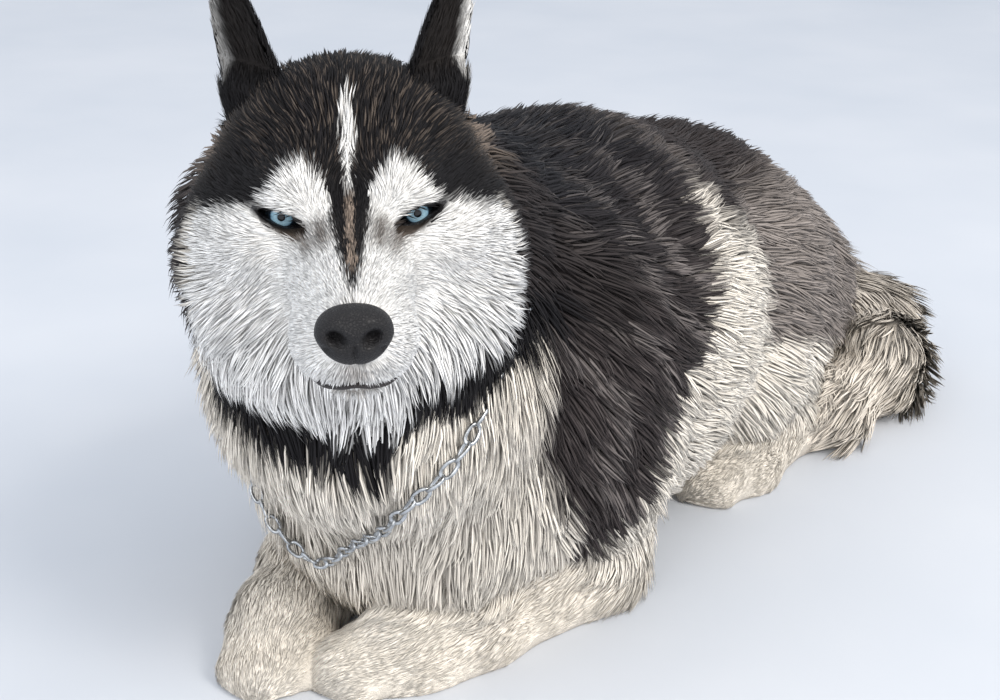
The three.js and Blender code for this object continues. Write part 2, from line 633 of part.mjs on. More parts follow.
// Tail: three lengths of one brush
const tailCuts = [tailPath[2], tailPath[4]]
const tailRun = [unit(add(tailPath[3], tailPath[1], -1)), unit(add(tailPath[5], tailPath[3], -1))]
const pastCut = (n, grown) => {
  const run = tailRun[n]
  const across = unit(cross([0, 0, 1], run))
  return block(add(tailCuts[n], run, 150), [300, 560, 300], [run, across, cross(run, across)], grown)
}
const everywhere = () => block([0, 0, 0], [4000, 4000, 4000])
const tailRegions = {
  tail_base: (grown) => everywhere().subtract(pastCut(0, gap - grown)),
  tail_middle: (grown) => pastCut(0, grown).subtract(pastCut(1, gap - grown)),
  tail_tip: (grown) => pastCut(0, 0).intersect(pastCut(1, grown)),
}
for (const [name, region] of Object.entries(tailRegions)) {
  hold(name, tailSkin.intersect(region(0)), region, name === 'tail_base' ? fur.black : fur.cream, 'brush')
}

// Locks: flat, tapered, bent, and rooted deep in their node. Each follows the lie of
// the coat: away from the face, down the throat and chest, back over the trunk, and
// along the tail to its tip
let seed = 20250
const chance = () => {
  seed = (seed + 0x6d2b79f5) | 0
  let t = Math.imul(seed ^ (seed >>> 15), 1 | seed)
  t = (t + Math.imul(t ^ (t >>> 7), 61 | t)) ^ t
  return ((t ^ (t >>> 14)) >>> 0) / 4294967296
}
const tailTowards = (p) => {
  const near = tailPath.map((point) => length(add(point, p, -1)))
  const n = Math.min(near.indexOf(Math.min(...near)), tailPath.length - 2)
  return unit(add(tailPath[n + 1], tailPath[n], -1))
}
const backwards = turnFromHead([-1, 0, 0])
const outwards = (p) => turnFromHead([0, Math.sign(inHead(p)[1]) * 0.5, -0.7])
const fromFace = (p) => unit(add(p, [40, -190, 300], -1))
const coats = {
  cheek: {
    count: 8, long: 42, wide: 27, rise: 0.2,
    lie: (p) => add(backwards, outwards(p)),
    grows: (p) => inHead(p)[0] < -40 && inHead(p)[2] < -10,
  },
  ruff: {
    count: 18, long: 62, wide: 36, rise: 0.24,
    lie: (p) => add([0, 0, -1], fromFace(p), 0.7),
    grows: () => true,
  },
  chest: {
    count: 16, long: 60, wide: 38, rise: 0.18,
    lie: (p) => (p[1] < -60 ? [0, -0.1, -1] : [0, 1, -0.45]),
    grows: (p) => p[2] > 50,
  },
  loin: { count: 5, long: 56, wide: 40, rise: 0.1, lie: () => [0, 1, -0.4], grows: (p) => p[2] > 80 },
  croup: { count: 5, long: 52, wide: 36, rise: 0.12, lie: () => [0, 1, -0.6], grows: (p) => p[2] > 60 },
  flank: {
    count: 5, long: 56, wide: 36, rise: 0.12,
    lie: () => [0, 0.5, -1],
    grows: (p) => p[2] > 80 && Math.abs(p[0]) > 90,
  },
  breech: {
    count: 6, long: 54, wide: 34, rise: 0.16,
    lie: () => [0, 0.8, -0.8],
    grows: (p) => p[2] > 45 && Math.abs(p[0]) > 72,
  },
  brush: { count: 8, long: 48, wide: 32, rise: 0.18, lie: tailTowards, grows: (p) => p[2] > 14 },
}
const sunk = 7
function lockAt({ p, out, along, long, wide, rise }, grown) {
  const across = unit(cross(along, out))
  const over = unit(cross(across, along))
  const thick = wide * 0.2
  const spine = [[-0.04, -sunk / long, 0.62], [0.3, rise * 0.62, 0.55], [0.66, rise, 0.42]]
  const rings = spine.map(([t, up, half]) => {
    const at = add(add(p, along, t * long), out, up * long)
    const halfWide = across.map((part) => part * (wide * half + grown))
    const halfThick = over.map((part) => part * (thick * half + grown))
    return ring(at, halfWide, halfThick, 4)
  })
  return loft(rings, add(add(p, along, long + 2 * grown), out, rise * 0.92 * long))
}
function locksOn(core, { count, long, wide, rise, lie, grows }) {
  const { vertProperties, triVerts } = core.getMesh()
  const corner = (n) => Array.from(vertProperties.slice(3 * triVerts[n], 3 * triVerts[n] + 3))
  const faces = []
  let total = 0
  for (let n = 0; n < triVerts.length; n += 3) {
    const [a, b, c] = [corner(n), corner(n + 1), corner(n + 2)]
    const normal = cross(add(b, a, -1), add(c, a, -1))
    total += length(normal)
    faces.push({ a, b, c, normal: unit(normal), upTo: total })
  }
  const roots = []
  for (let tries = 0; tries < count * 60 && roots.length < count; tries++) {
    const draw = chance() * total
    const face = faces.find(({ upTo }) => upTo >= draw)
    const [s, t] = [Math.sqrt(chance()), chance()]
    const p = mix(face.a, mix(face.b, face.c, t), s)
    const buried = Math.abs(bodyField(p)) > 4 && Math.abs(tailField(p)) > 4
    if (buried || !grows(p) || roots.some(({ p: q }) => length(add(p, q, -1)) < wide * 0.72)) continue
    const towards = unit(lie(p))
    const along = unit(add(towards, face.normal, -dot(towards, face.normal)))
    if (dot(along, along) < 0.5) continue
    const size = 0.8 + 0.35 * chance()
    roots.push({ p, out: face.normal, along, long: long * size, wide: wide * size, rise })
  }
  const all = (grown) => roots.map((root) => lockAt(root, grown))
  return { plain: all(0), grown: all(gap) }
}

// The coats are laid in turn. Each is cut clear of the locks laid before it and of
// every other node, and hangs over its neighbours where the real coat does
let open = chainRoom.add(ears).add(clawRoom)
for (const side of Object.values(sides)) open = open.add(eyeOpening(side))
let laid = open
let claimed = block([0, 0, -900], [1, 1, 1])
for (const { name, core, region, material, coat } of cores) {
  const onTail = name.startsWith('tail')
  const own = onTail ? region(0) : region(0).subtract(claimed)
  if (!onTail) claimed = claimed.add(region(gap))
  const bare = core.subtract(open)
  if (!coat) {
    keep(name, bare.subtract(laid), material)
    continue
  }
  const { plain, grown } = locksOn(core, coats[coat])
  let locks = plain.reduce((all, lock) => all.add(lock)).subtract(laid).intersect(floorBlock)
  for (const room of bodyRooms) locks = locks.subtract(onTail ? room : room.subtract(own))
  locks = locks.subtract(onTail ? tailRoom.subtract(own) : tailRoom)
  for (const other of cores) locks = other.name === name ? locks : locks.subtract(other.core)
  keep(name, bare.add(locks), material)
  laid = laid.add(grown.reduce((all, lock) => all.add(lock)))
}

export default husky
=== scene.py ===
import math
import bmesh
import bpy
import numpy as np
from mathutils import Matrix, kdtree


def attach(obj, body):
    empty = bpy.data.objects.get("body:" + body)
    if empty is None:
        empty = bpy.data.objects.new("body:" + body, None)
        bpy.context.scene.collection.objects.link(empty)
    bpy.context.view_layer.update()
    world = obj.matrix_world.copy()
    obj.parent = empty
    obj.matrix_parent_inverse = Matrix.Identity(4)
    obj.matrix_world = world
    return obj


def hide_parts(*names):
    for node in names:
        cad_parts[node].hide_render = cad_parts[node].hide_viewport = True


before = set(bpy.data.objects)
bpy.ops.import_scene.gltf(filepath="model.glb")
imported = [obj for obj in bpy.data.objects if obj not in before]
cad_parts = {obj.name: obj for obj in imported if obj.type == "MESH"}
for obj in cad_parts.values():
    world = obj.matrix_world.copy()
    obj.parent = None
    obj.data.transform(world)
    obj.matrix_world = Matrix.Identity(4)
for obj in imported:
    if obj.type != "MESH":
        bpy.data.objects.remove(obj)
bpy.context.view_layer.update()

# Camera
# A long lens that stands over the dog's left shoulder and looks 22 degrees down,
# so that the floor fills the frame and the ear tips are cropped.
camera_data = bpy.data.cameras.new("camera")
camera_data.sensor_width = 36
camera_data.sensor_fit = "HORIZONTAL"
camera_data.lens = 59.04
camera = bpy.data.objects.new("camera", camera_data)
camera.location = (0.573, -0.872, 0.588)
camera.rotation_euler = (math.radians(68), 0, math.radians(32))
bpy.context.scene.collection.objects.link(camera)
bpy.context.scene.camera = camera

# Body
# One hide from nose to tail. It is worked in millimetres as a blend of rounded forms:
# an egg has three half lengths, and a limb runs between two balls. Each form also
# says how deep its coat is, which way the hair lies, and how long and wide a tuft is.
mm = 0.001
head_yaw = math.radians(37.5)
head_pitch = math.radians(-3)
eye_middle = np.array([91, -243, 342])
eye_span = 66
muzzle_long = 103
forward = np.array([math.sin(head_yaw) * math.cos(head_pitch),
                    -math.cos(head_yaw) * math.cos(head_pitch), math.sin(head_pitch)])
leftward = np.array([math.cos(head_yaw), math.sin(head_yaw), 0])
upward = np.cross(forward, leftward)
head_axes = np.array([forward, leftward, upward])


def in_head(points):
    return (points - eye_middle) @ head_axes.T


def from_head(points):
    return np.asarray(points, float) @ head_axes + eye_middle


def unit(vectors):
    return vectors / np.maximum(np.linalg.norm(vectors, axis=-1, keepdims=True), 1e-9)


# The coats: depth from hide to tips, a tuft's length and width, its rise from the
# hide in degrees, how much it waves, and the direction that the hair lies in
coats = {
    "back": dict(deep=8, long=34, wide=1.7, rise=20, wave=0.05, clump=0.45, lie=(0, 1, -0.15)),
    "side": dict(deep=10, long=38, wide=1.8, rise=22, wave=0.05, clump=0.5, lie=(0, 1, -0.55)),
    "chest": dict(deep=13, long=42, wide=1.35, rise=26, wave=0.05, clump=0.5, lie=(0.1, -0.2, -1)),
    "shoulder": dict(deep=10, long=38, wide=1.8, rise=22, wave=0.05, clump=0.5, lie=(0, 0.6, -0.9)),
    "thigh": dict(deep=9, long=36, wide=1.8, rise=22, wave=0.06, clump=0.5, lie=(0, 0.7, -0.8)),
    "leg": dict(deep=3, long=13, wide=1.1, rise=20, wave=0.05, clump=0.3, lie=None),
    "paw": dict(deep=2, long=8, wide=0.9, rise=20, wave=0.05, clump=0.2, lie=None),
    "neck": dict(deep=14, long=44, wide=1.9, rise=30, wave=0.06, clump=0.55, lie=(-0.35, 0.7, -0.75)),
    "throat": dict(deep=14, long=36, wide=1.3, rise=27, wave=0.05, clump=0.5, lie=(0.1, -0.1, -1)),
    "skull": dict(deep=4, long=14, wide=0.95, rise=24, wave=0.04, clump=0.2, lie=None),
    "face": dict(deep=1.5, long=7, wide=0.7, rise=22, wave=0.03, clump=0.1, lie=None),
    "cheek": dict(deep=6, long=22, wide=1.15, rise=24, wave=0.04, clump=0.35, lie=None),
    "ear": dict(deep=0, long=10, wide=0.9, rise=15, wave=0.04, clump=0.15, lie=None),
    "tail": dict(deep=18, long=42, wide=1.9, rise=24, wave=0.05, clump=0.5, lie=None),
}


def egg(coat, at, half, soft=24):
    return dict(coat=coat, at=np.array(at, float), half=np.array(half, float), soft=soft)


def limb(coat, start, end, thick_start, thick_end, soft=18):
    return dict(coat=coat, start=np.array(start, float), end=np.array(end, float),
                thick=(thick_start, thick_end), soft=soft)


def distance(form, points):
    if "half" in form:
        q = (points - form["at"]) / form["half"]
        near = np.sqrt((q * q).sum(1))
        slope = np.sqrt(((q / form["half"]) ** 2).sum(1))
        return near * (near - 1) / np.maximum(slope, 1e-6)
    axis = form["end"] - form["start"]
    long2 = axis @ axis
    thick_start, thick_end = form["thick"]
    taper = thick_start - thick_end
    slant2 = long2 - taper * taper
    offset = points - form["start"]
    along = offset @ axis
    past = along - long2
    side2 = ((offset * long2 - along[:, None] * axis) ** 2).sum(1)
    turn = np.sign(taper) * taper * taper * side2
    beyond_end = np.sign(past) * slant2 * past * past * long2 > turn
    before_start = np.sign(along) * slant2 * along * along * long2 < turn
    side = (np.sqrt(side2 * slant2 / long2) + along * taper) / long2 - thick_start
    at_end = np.sqrt(side2 + past * past * long2) / long2 - thick_end
    at_start = np.sqrt(side2 + along * along * long2) / long2 - thick_start
    return np.where(beyond_end, at_end, np.where(before_start, at_start, side))


withers_high = 315
back_high = 272
croup_high = 233
body_half = 160
chest_front = -180
trunk_forms = [
    egg("side", [0, 95, withers_high / 2 - 3], [body_half, 215, withers_high / 2 + 3]),
    egg("side", [0, 262, back_high / 2 - 3], [body_half - 14, 172, back_high / 2 + 3]),
    egg("thigh", [0, 375, croup_high / 2 - 7], [body_half - 42, 118, croup_high / 2 - 1]),
    egg("chest", [10, chest_front + 95, 132], [118, 95, 120], 30),
    egg("side", [0, 10, 58], [72, 110, 64], 30),
    egg("shoulder", [-98, -35, 165], [72, 102, 122], 30),
    egg("shoulder", [90, -20, 165], [68, 100, 118], 30),
    egg("thigh", [76, 318, 104], [62, 110, 106], 30),
    egg("thigh", [-76, 318, 104], [62, 110, 106], 30),
]
legs = {
    "foreleg_left": ([[98, -8, 120], [92, 14, 39], [64, -94, 30], [44, -132, 24], [20, -166, 16]],
                     [60, 42, 29, 27, 18]),
    "foreleg_right": ([[-108, -10, 120], [-106, 12, 40], [-60, -110, 31], [-42, -160, 25],
                       [-26, -196, 16]], [66, 42, 29, 27, 18]),
    "hind_leg_left": ([[66, 375, 112], [92, 232, 86], [122, 345, 34], [112, 226, 22],
                       [98, 190, 16]], [72, 52, 26, 22, 16]),
    "hind_leg_right": ([[-66, 375, 112], [-92, 236, 86], [-122, 350, 34], [-118, 230, 22],
                        [-112, 194, 16]], [72, 52, 26, 22, 16]),
}
leg_forms = [
    limb(("shoulder" if n == 0 else "leg" if n < 3 else "paw") if "fore" in name
         else ("thigh" if n < 2 else "leg" if n < 3 else "paw"),
         joints[n], joints[n + 1], thick[n], thick[n + 1], 20)
    for name, (joints, thick) in legs.items() for n in range(4)]
neck_forms = [
    limb("neck", [0, 10, 205], from_head([-78, 0, -30]), 112, 84, 40),
    egg("throat", [38, -150, 220], [106, 104, 108], 36),
    egg("throat", from_head([-62, 0, -78]), [92, 90, 62], 30),
]
tail_path = np.array([[0, 430, 116], [50, 492, 82], [112, 492, 52], [150, 430, 44],
                      [144, 345, 30], [124, 296, 15]], float)
tail_reach = [40, 48, 52, 50, 38, 16]
tail_forms = [limb("tail", tail_path[n], tail_path[n + 1], tail_reach[n], tail_reach[n + 1], 22)
              for n in range(len(tail_path) - 1)]
head_forms = [
    egg("skull", [-66, 0, 4], [62, 64, 56], 20),
    egg("skull", [-104, 0, -4], [46, 62, 54], 24),
    egg("face", [-12, 24, 10], [24, 22, 20], 16),
    egg("face", [-34, 46, -16], [42, 30, 28], 20),
    egg("cheek", [-50, 55, -38], [40, 40, 42], 24),
    egg("cheek", [-40, 34, -60], [44, 42, 36], 24),
    egg("neck", [-96, 58, -50], [36, 44, 64], 20),
    limb("face", [4, 0, -26], [muzzle_long - 28, 0, -33], 34, 25, 14),
    limb("face", [2, 0, -8], [muzzle_long - 18, 0, -20], 18, 12, 12),
    limb("face", [-10, 0, -58], [muzzle_long - 36, 0, -53], 26, 14, 12),
    egg("face", [muzzle_long - 41, 15, -39], [26, 16, 17], 8),
]


def soft_min(a, b, soft):
    both = np.maximum(soft - np.abs(a - b), 0) / soft
    return np.minimum(a, b) - both * both * soft / 4


def blended(forms, points):
    far = np.full(len(points), 1e4)
    for form in forms:
        near = distance(form, points) + coats[form["coat"]]["deep"]
        far = soft_min(far, near, form["soft"])
    return far


def head_folded(points):
    folded = in_head(points)
    folded[:, 1] = np.abs(folded[:, 1])
    return folded


# Toes: four rounded knuckles across the front of each paw
toes = []
toe_apart = 10.5
for name, (joints, _) in legs.items():
    knuckle = np.array(joints[3], float)
    toe = np.array(joints[4], float)
    run = unit((toe - knuckle) * [1, 1, 0])
    across_paw = np.array([-run[1], run[0], 0])
    for n, spread in enumerate((-1.5, -0.5, 0.5, 1.5)):
        reach = 5 if n in (1, 2) else -1
        middle = toe + run * reach + across_paw * spread * toe_apart
        toes.append(limb("paw", middle - run * 16 + [0, 0, 6], middle - [0, 0, 2], 10, 9, 5))

# The eye's opening: an almond, drawn out and raised at the outer corner
eye_ball = 11
lid_half = 13
lid_rise = 5.6
lid_slant = 0.28


def almond(folded):
    along = folded[:, 1] - eye_span / 2
    rise = folded[:, 2] - lid_slant * along
    narrow = np.maximum(1 - 0.35 * np.abs(along) / lid_half, 0.3)
    return np.hypot(along / lid_half, rise / (lid_rise * narrow)) - 1


def mouth_height(u):
    return np.interp(u, [36, 54, 76, 92, 102], [-51, -55, -55, -53, -52])


def hide_field(points):
    # A distance from the hide in millimetres, below 0 inside
    folded = head_folded(points)
    body = blended(trunk_forms + leg_forms + toes + neck_forms, points)
    whole = soft_min(body, blended(head_forms, folded), 26)
    whole = soft_min(whole, blended(tail_forms, points), 14)
    # Where the body rests, the hide presses its own coat flat against the floor
    lift = np.clip((points[:, 2] - 2) / 30, 0, 1)
    whole = whole - (1 - lift) * 12
    # The mouth's groove, and the sockets that the eyes sit in
    groove = np.exp(-((folded[:, 2] - mouth_height(folded[:, 0])) / 2.0) ** 2)
    whole = whole + 3.0 * groove * np.clip((folded[:, 0] - 40) / 10, 0, 1)
    ball = np.linalg.norm(folded - [-eye_ball + 0.5, eye_span / 2, 0], axis=1) - (eye_ball + 1.0)
    opening = np.maximum(almond(folded) * 6, -(folded[:, 0] + eye_ball))
    socket = np.where(folded[:, 0] > -40, -np.minimum(ball, opening), -99)
    return np.maximum(whole, socket)


def slopes(field, points, step=1.0):
    out = np.empty_like(points)
    for axis in range(3):
        shift = np.zeros(3)
        shift[axis] = step
        out[:, axis] = (field(points + shift) - field(points - shift)) / (2 * step)
    return out


def spaced(low, high, coarse, fine_low, fine_high, fine):
    before = np.arange(low, fine_low, coarse)
    middle = np.arange(fine_low, fine_high, fine)
    after = np.arange(fine_high, high + coarse, coarse)
    return np.concatenate([before, middle, after])


def surface_of(field, grid):
    # One point in each cell that the surface crosses, and one quad for each crossed edge
    shape = [len(line) for line in grid]
    value = np.empty(shape, np.float32)
    plane = np.stack(np.meshgrid(grid[1], grid[2], indexing="ij"), -1).reshape(-1, 2)
    for n, x in enumerate(grid[0]):
        points = np.column_stack([np.full(len(plane), x), plane])
        value[n] = field(points).reshape(shape[1:])
    inside = value < 0
    total = np.zeros([size - 1 for size in shape] + [3], np.float32)
    count = np.zeros([size - 1 for size in shape], np.int32)
    crossings = []
    for axis in range(3):
        low = [slice(None)] * 3
        high = [slice(None)] * 3
        low[axis] = slice(0, -1)
        high[axis] = slice(1, None)
        a, b = value[tuple(low)], value[tuple(high)]
        at = np.argwhere(inside[tuple(low)] != inside[tuple(high)])
        at = at[(at[:, (axis + 1) % 3] > 0) & (at[:, (axis + 2) % 3] > 0)
                & (at[:, (axis + 1) % 3] < shape[(axis + 1) % 3] - 1)
                & (at[:, (axis + 2) % 3] < shape[(axis + 2) % 3] - 1)]
        va, vb = a[tuple(at.T)], b[tuple(at.T)]
        part = va / (va - vb)
        spot = np.stack([grid[k][at[:, k]] for k in range(3)], -1)
        spot[:, axis] += part * (grid[axis][at[:, axis] + 1] - grid[axis][at[:, axis]])
        ring = []
        for du, dv in ((0, 0), (1, 0), (1, 1), (0, 1)):
            cell = at.copy()
            cell[:, (axis + 1) % 3] -= du
            cell[:, (axis + 2) % 3] -= dv
            np.add.at(total, tuple(cell.T), spot)
            np.add.at(count, tuple(cell.T), 1)
            ring.append(cell)
        crossings.append((ring, va < 0))
    number = np.full(count.shape, -1, np.int64)
    used = count > 0
    number[used] = np.arange(used.sum())
    points = total[used].astype(float) / count[used][:, None]
    quads = []
    for ring, outward in crossings:
        quad = np.stack([number[tuple(cell.T)] for cell in ring], -1)
        quad[outward] = quad[outward][:, ::-1]
        quads.append(quad[:, ::-1])
    return points, np.concatenate(quads)


def mesh_of(name, points, faces):
    mesh = bpy.data.meshes.new(name)
    faces = np.asarray(faces)
    mesh.vertices.add(len(points))
    mesh.vertices.foreach_set("co", np.asarray(points, np.float32).ravel() * mm)
    mesh.loops.add(faces.size)
    mesh.loops.foreach_set("vertex_index", faces.astype(np.int32).ravel())
    mesh.polygons.add(len(faces))
    mesh.polygons.foreach_set("loop_start", np.arange(0, faces.size, faces.shape[1], dtype=np.int32))
    mesh.polygons.foreach_set("use_smooth", np.ones(len(faces), bool))
    mesh.update(calc_edges=True)
    mesh.validate()
    made = bpy.data.objects.new(name, mesh)
    bpy.context.scene.collection.objects.link(made)
    return made


def outward(piece):
    shape = bmesh.new()
    shape.from_mesh(piece.data)
    bmesh.ops.recalc_face_normals(shape, faces=shape.faces)
    if shape.calc_volume(signed=True) < 0:
        bmesh.ops.reverse_faces(shape, faces=shape.faces)
    shape.to_mesh(piece.data)
    shape.free()


def close_holes(piece):
    shape = bmesh.new()
    shape.from_mesh(piece.data)
    bmesh.ops.holes_fill(shape, edges=[edge for edge in shape.edges if edge.is_boundary])
    shape.to_mesh(piece.data)
    shape.free()


grid = (spaced(-190, 225, 7, 4, 186, 2.3), spaced(-350, 570, 7, -342, -150, 2.3),
        spaced(-14, 430, 7, 262, 416, 2.3))
hide_points, hide_faces = surface_of(hide_field, grid)
for _ in range(2):
    slope = slopes(hide_field, hide_points)
    gap = hide_field(hide_points)
    near = np.minimum(1, 3 / np.maximum(np.abs(gap), 1e-6))
    hide_points -= (gap * near / np.maximum((slope * slope).sum(1), 0.3))[:, None] * slope
hide_points[:, 2] = np.maximum(hide_points[:, 2], 0.3)

# Markings
# A black and white husky: black saddle and cap, white face, brows, chest and legs, a
# dark band on the throat, grey thighs and a cream tail with a dark top. Each edge is
# a curve in the head's axes or along the body, and is the same for hide and coat.
colours = {
    "black": (0.010, 0.010, 0.013),
    "charcoal": (0.045, 0.037, 0.036),
    "streak": (0.20, 0.175, 0.165),
    "cap": (0.012, 0.011, 0.012),
    "grizzle": (0.16, 0.125, 0.10),
    "white": (0.95, 0.93, 0.90),
    "chest": (0.91, 0.835, 0.73),
    "leg": (0.92, 0.84, 0.73),
    "grey": (0.30, 0.26, 0.235),
    "tail": (0.88, 0.79, 0.68),
}
colours = {name: np.array(value) for name, value in colours.items()}
face_ends = -70


def ramp(value, width):
    return np.clip(0.5 + value / width, 0, 1)


def hair_colours(points, draw):
    # draw shakes each tuft's reading point by a few millimetres, so edges interlock
    shaken = points + draw * 5
    x, y, z = shaken.T
    u, v, w = in_head(points + draw * 1.6).T
    side = np.abs(v)
    tone = draw[:, :1]

    def lay(under, over, mask):
        return under + (over - under) * np.clip(mask, 0, 1)[:, None]

    # The trunk: black along the spine, charcoal and streaked down the side
    colour = lay(np.tile(colours["black"], (len(points), 1)), colours["charcoal"], ramp(265 - z, 90))
    streaks = np.clip(np.sin(y * 0.11 + z * 0.05 + 2 * np.sin(z * 0.06)) * 1.6 - 0.6, 0, 1)
    colour = lay(colour, colours["streak"], 0.7 * streaks * ramp(285 - z, 60) + 0.25 * (tone[:, 0] > 0.75))
    flank_edge = np.interp(z, [80, 137, 162, 189, 277, 320], [-30, 2, 36, 81, 137, 230])
    behind = ramp(y - flank_edge, 14)
    cream_end = np.interp(z, [0, 90, 137, 180, 233, 260], [560, 330, 196, 208, 196, 150])
    colour = lay(colour, colours["chest"], behind * ramp(262 - z, 20))
    colour = lay(colour, colours["grey"], ramp(y - cream_end, 34) * ramp(z - 45, 20))
    colour = lay(colour, colours["charcoal"], ramp(y - 150, 40) * ramp(z - 236 + 0.1 * np.abs(x), 26))
    colour = lay(colour, colours["leg"], ramp(44 - z, 14) * ramp(y - 60, 30))

    # Chest and forelegs
    chest_edge = np.interp(z, [0, 50, 87, 160, 240, 290], [10, -40, -68, -112, -110, -150])
    colour = lay(colour, colours["chest"], ramp(chest_edge - y, 14))
    colour = lay(colour, colours["leg"], ramp(chest_edge - y, 14) * ramp(78 - z, 30))

    # Tail
    at_tail = np.min([distance(form, points) for form in tail_forms], axis=0)
    at_rump = np.min([distance(form, points) for form in trunk_forms + leg_forms], axis=0)
    in_tail = ramp(at_rump - at_tail, 10) * ramp(y - 285, 20)
    colour = lay(colour, colours["tail"], in_tail)
    colour = lay(colour, colours["grey"] * 0.6, 0.8 * in_tail * ramp(z - 84, 34) * ramp(y - 350, 60))

    # Throat: dark round the whole neck behind the cheeks, and a band under the jaw
    on_head = ramp(u + 150, 30) * ramp(w + 200, 40)
    band_middle = np.interp(v, [-95, -57, -42, -24, -5, 8, 22, 26, 60, 90],
                            [-138, -138, -146, -145, -153, -154, -146, -120, -112, -106])
    band_half = np.interp(v, [-95, -57, -24, 8, 20, 25, 60, 90], [19, 18, 17, 16, 10, 11, 15, 16])
    neck_dark = ramp(-40 - u, 12) * ramp(w - band_middle + band_half, 8)
    before_chest = ramp(face_ends - y, 20)
    colour = lay(colour, colours["charcoal"] * 0.8, neck_dark * on_head)
    face_back = np.interp(w, [-110, -66, -20, 0], [64, 50, 40, 34]) - 1.2 * np.clip(-v - 78, 0, 14)
    face = ramp(u + face_back, 12) * ramp(w - band_middle - 0.6 * band_half, 6) * before_chest
    colour = lay(colour, colours["white"], face)
    band = ramp(band_half - np.abs(w - band_middle), 6) * before_chest * ramp(-70 - w, 20)
    colour = lay(colour, colours["cap"] * 1.2, band)

    # Cap, with a white spot over each eye and a blaze between them
    cap_edge = np.interp(side, [0, 8, 14, 48, 60, 76, 90], [-12, 2, 4, 7, 2, -5, -16])
    cap = ramp(w - cap_edge, 5) * ramp(60 - u - 0.6 * np.maximum(w, 0), 30)
    colour = lay(colour, colours["cap"], cap * ramp(u + 190, 40))
    grizzled = cap * np.clip(tone[:, 0] * 1.4 - 0.2, 0, 1) * ramp(w - 26, 20)
    colour = lay(colour, colours["grizzle"], 0.6 * grizzled)
    temple = np.exp(-((side - 74) / 16) ** 2 - ((u + 104) / 30) ** 2 - ((w - 12) / 22) ** 2)
    colour = lay(colour, colours["grizzle"] * 2.2, 0.75 * temple)
    brow_top = np.interp(side, [6, 9, 14, 23, 33, 45, 54], [5, 10, 22, 29, 25, 11, 2])
    brow = ramp(brow_top - w, 4) * ramp(side - 7, 3) * ramp(56 - side, 4) * ramp(w + 8, 4) * ramp(u + 40, 10)
    colour = lay(colour, colours["white"], brow)
    blaze_half = np.interp(w, [10, 22, 34, 50, 54], [1.2, 2.8, 4.2, 2.6, 0])
    blaze = ramp(blaze_half - side, 1.6) * ramp(w - 10, 4) * ramp(u + 50, 12)
    colour = lay(colour, colours["white"] * 0.9, blaze)

    # The bridge: a dark bar between the eyes that ends in a point on the muzzle
    bar_half = np.interp(u, [-10, 12, 30, 45, 62, 78, 84], [9, 10.5, 8.5, 6, 4, 2, 0])
    bar = ramp(bar_half - side, 2.4) * ramp(w + 14, 5) * ramp(18 - w, 8) * ramp(u - 2, 8)
    colour = lay(colour, colours["cap"], bar)
    core = ramp(1.7 - side, 1.2) * ramp(w + 14, 5) * ramp(14 - w, 6) * ramp(66 - u, 10) * ramp(u - 2, 8)
    colour = lay(colour, colours["grizzle"] * 2.4, 0.8 * core)

    # Dark skin and short dark hair round the eyes, and painted shade in a soft patch under each eye and in a
    # streak from the inner corner to the bridge
    round_eye = almond(np.column_stack([u, side, w]))
    rim = ramp(0.30 - round_eye, 0.3) * ramp(u + 30, 10) * ramp(14 - u, 6)
    colour = lay(colour, colours["cap"], rim)
    # Painted shade: a soft grey patch in the hollow under the eye
    under_eye_shade = np.exp(-((side - 25) / 11) ** 2 - ((w + 5.5) / 4.2) ** 2) * ramp(36 - u, 16) * ramp(u + 20, 10)
    colour = lay(colour, colours["grizzle"] * 0.8, 0.85 * under_eye_shade)
    # Painted shade: a streak from the eye's inner corner to the dark bar on the bridge
    inner_corner_shade = np.exp(-((side - 14) / 5.5) ** 2 - ((w - 1) / 4.6) ** 2) * ramp(u - 4, 8) * ramp(42 - u, 12)
    colour = lay(colour, colours["grizzle"] * 0.6, 0.9 * inner_corner_shade)
    chin = np.exp(-(side / 20) ** 2 - ((w + 58) / 3.4) ** 2) * ramp(u - 66, 10)
    colour = lay(colour, colours["grizzle"] * 0.9, 0.75 * chin)
    under_nose = np.exp(-(side / 9) ** 2 - ((w + 42) / 6) ** 2) * ramp(u - 84, 8)
    colour = lay(colour, colours["grizzle"] * 1.2, 0.6 * under_nose)
    outer = np.exp(-((side - 50) / 5) ** 2 - ((w - 8) / 2.6) ** 2) * ramp(u + 40, 10)
    colour = lay(colour, colours["cap"], outer)
    return colour


skin = mesh_of("hide", hide_points, hide_faces)
close_holes(skin)
hide_colour = hair_colours(hide_points, np.zeros((len(hide_points), 3)))


def paint(piece, colour):
    rgba = np.column_stack([colour, np.ones(len(colour))]).astype(np.float32)
    layer = piece.data.color_attributes.new("Hair", "FLOAT_COLOR", "POINT")
    layer.data.foreach_set("color", rgba.ravel())


# The hide is painted a tenth darker than the hair over it: painted shade in the gaps between the tufts.
paint(skin, hide_colour * 0.9)


class Sock:
    """A socket that adds Math nodes when it is used in an expression."""

    def __init__(self, tree, out):
        self.tree = tree
        self.out = out

    def maths(self, operation, *values):
        node = self.tree.nodes.new("ShaderNodeMath")
        node.operation = operation
        for n, value in enumerate(values):
            if isinstance(value, Sock):
                self.tree.links.new(value.out, node.inputs[n])
            else:
                node.inputs[n].default_value = value
        return Sock(self.tree, node.outputs[0])

    def __add__(self, other):
        return self.maths("ADD", self, other)

    def __radd__(self, other):
        return self.maths("ADD", other, self)

    def __mul__(self, other):
        return self.maths("MULTIPLY", self, other)

    def __rmul__(self, other):
        return self.maths("MULTIPLY", other, self)


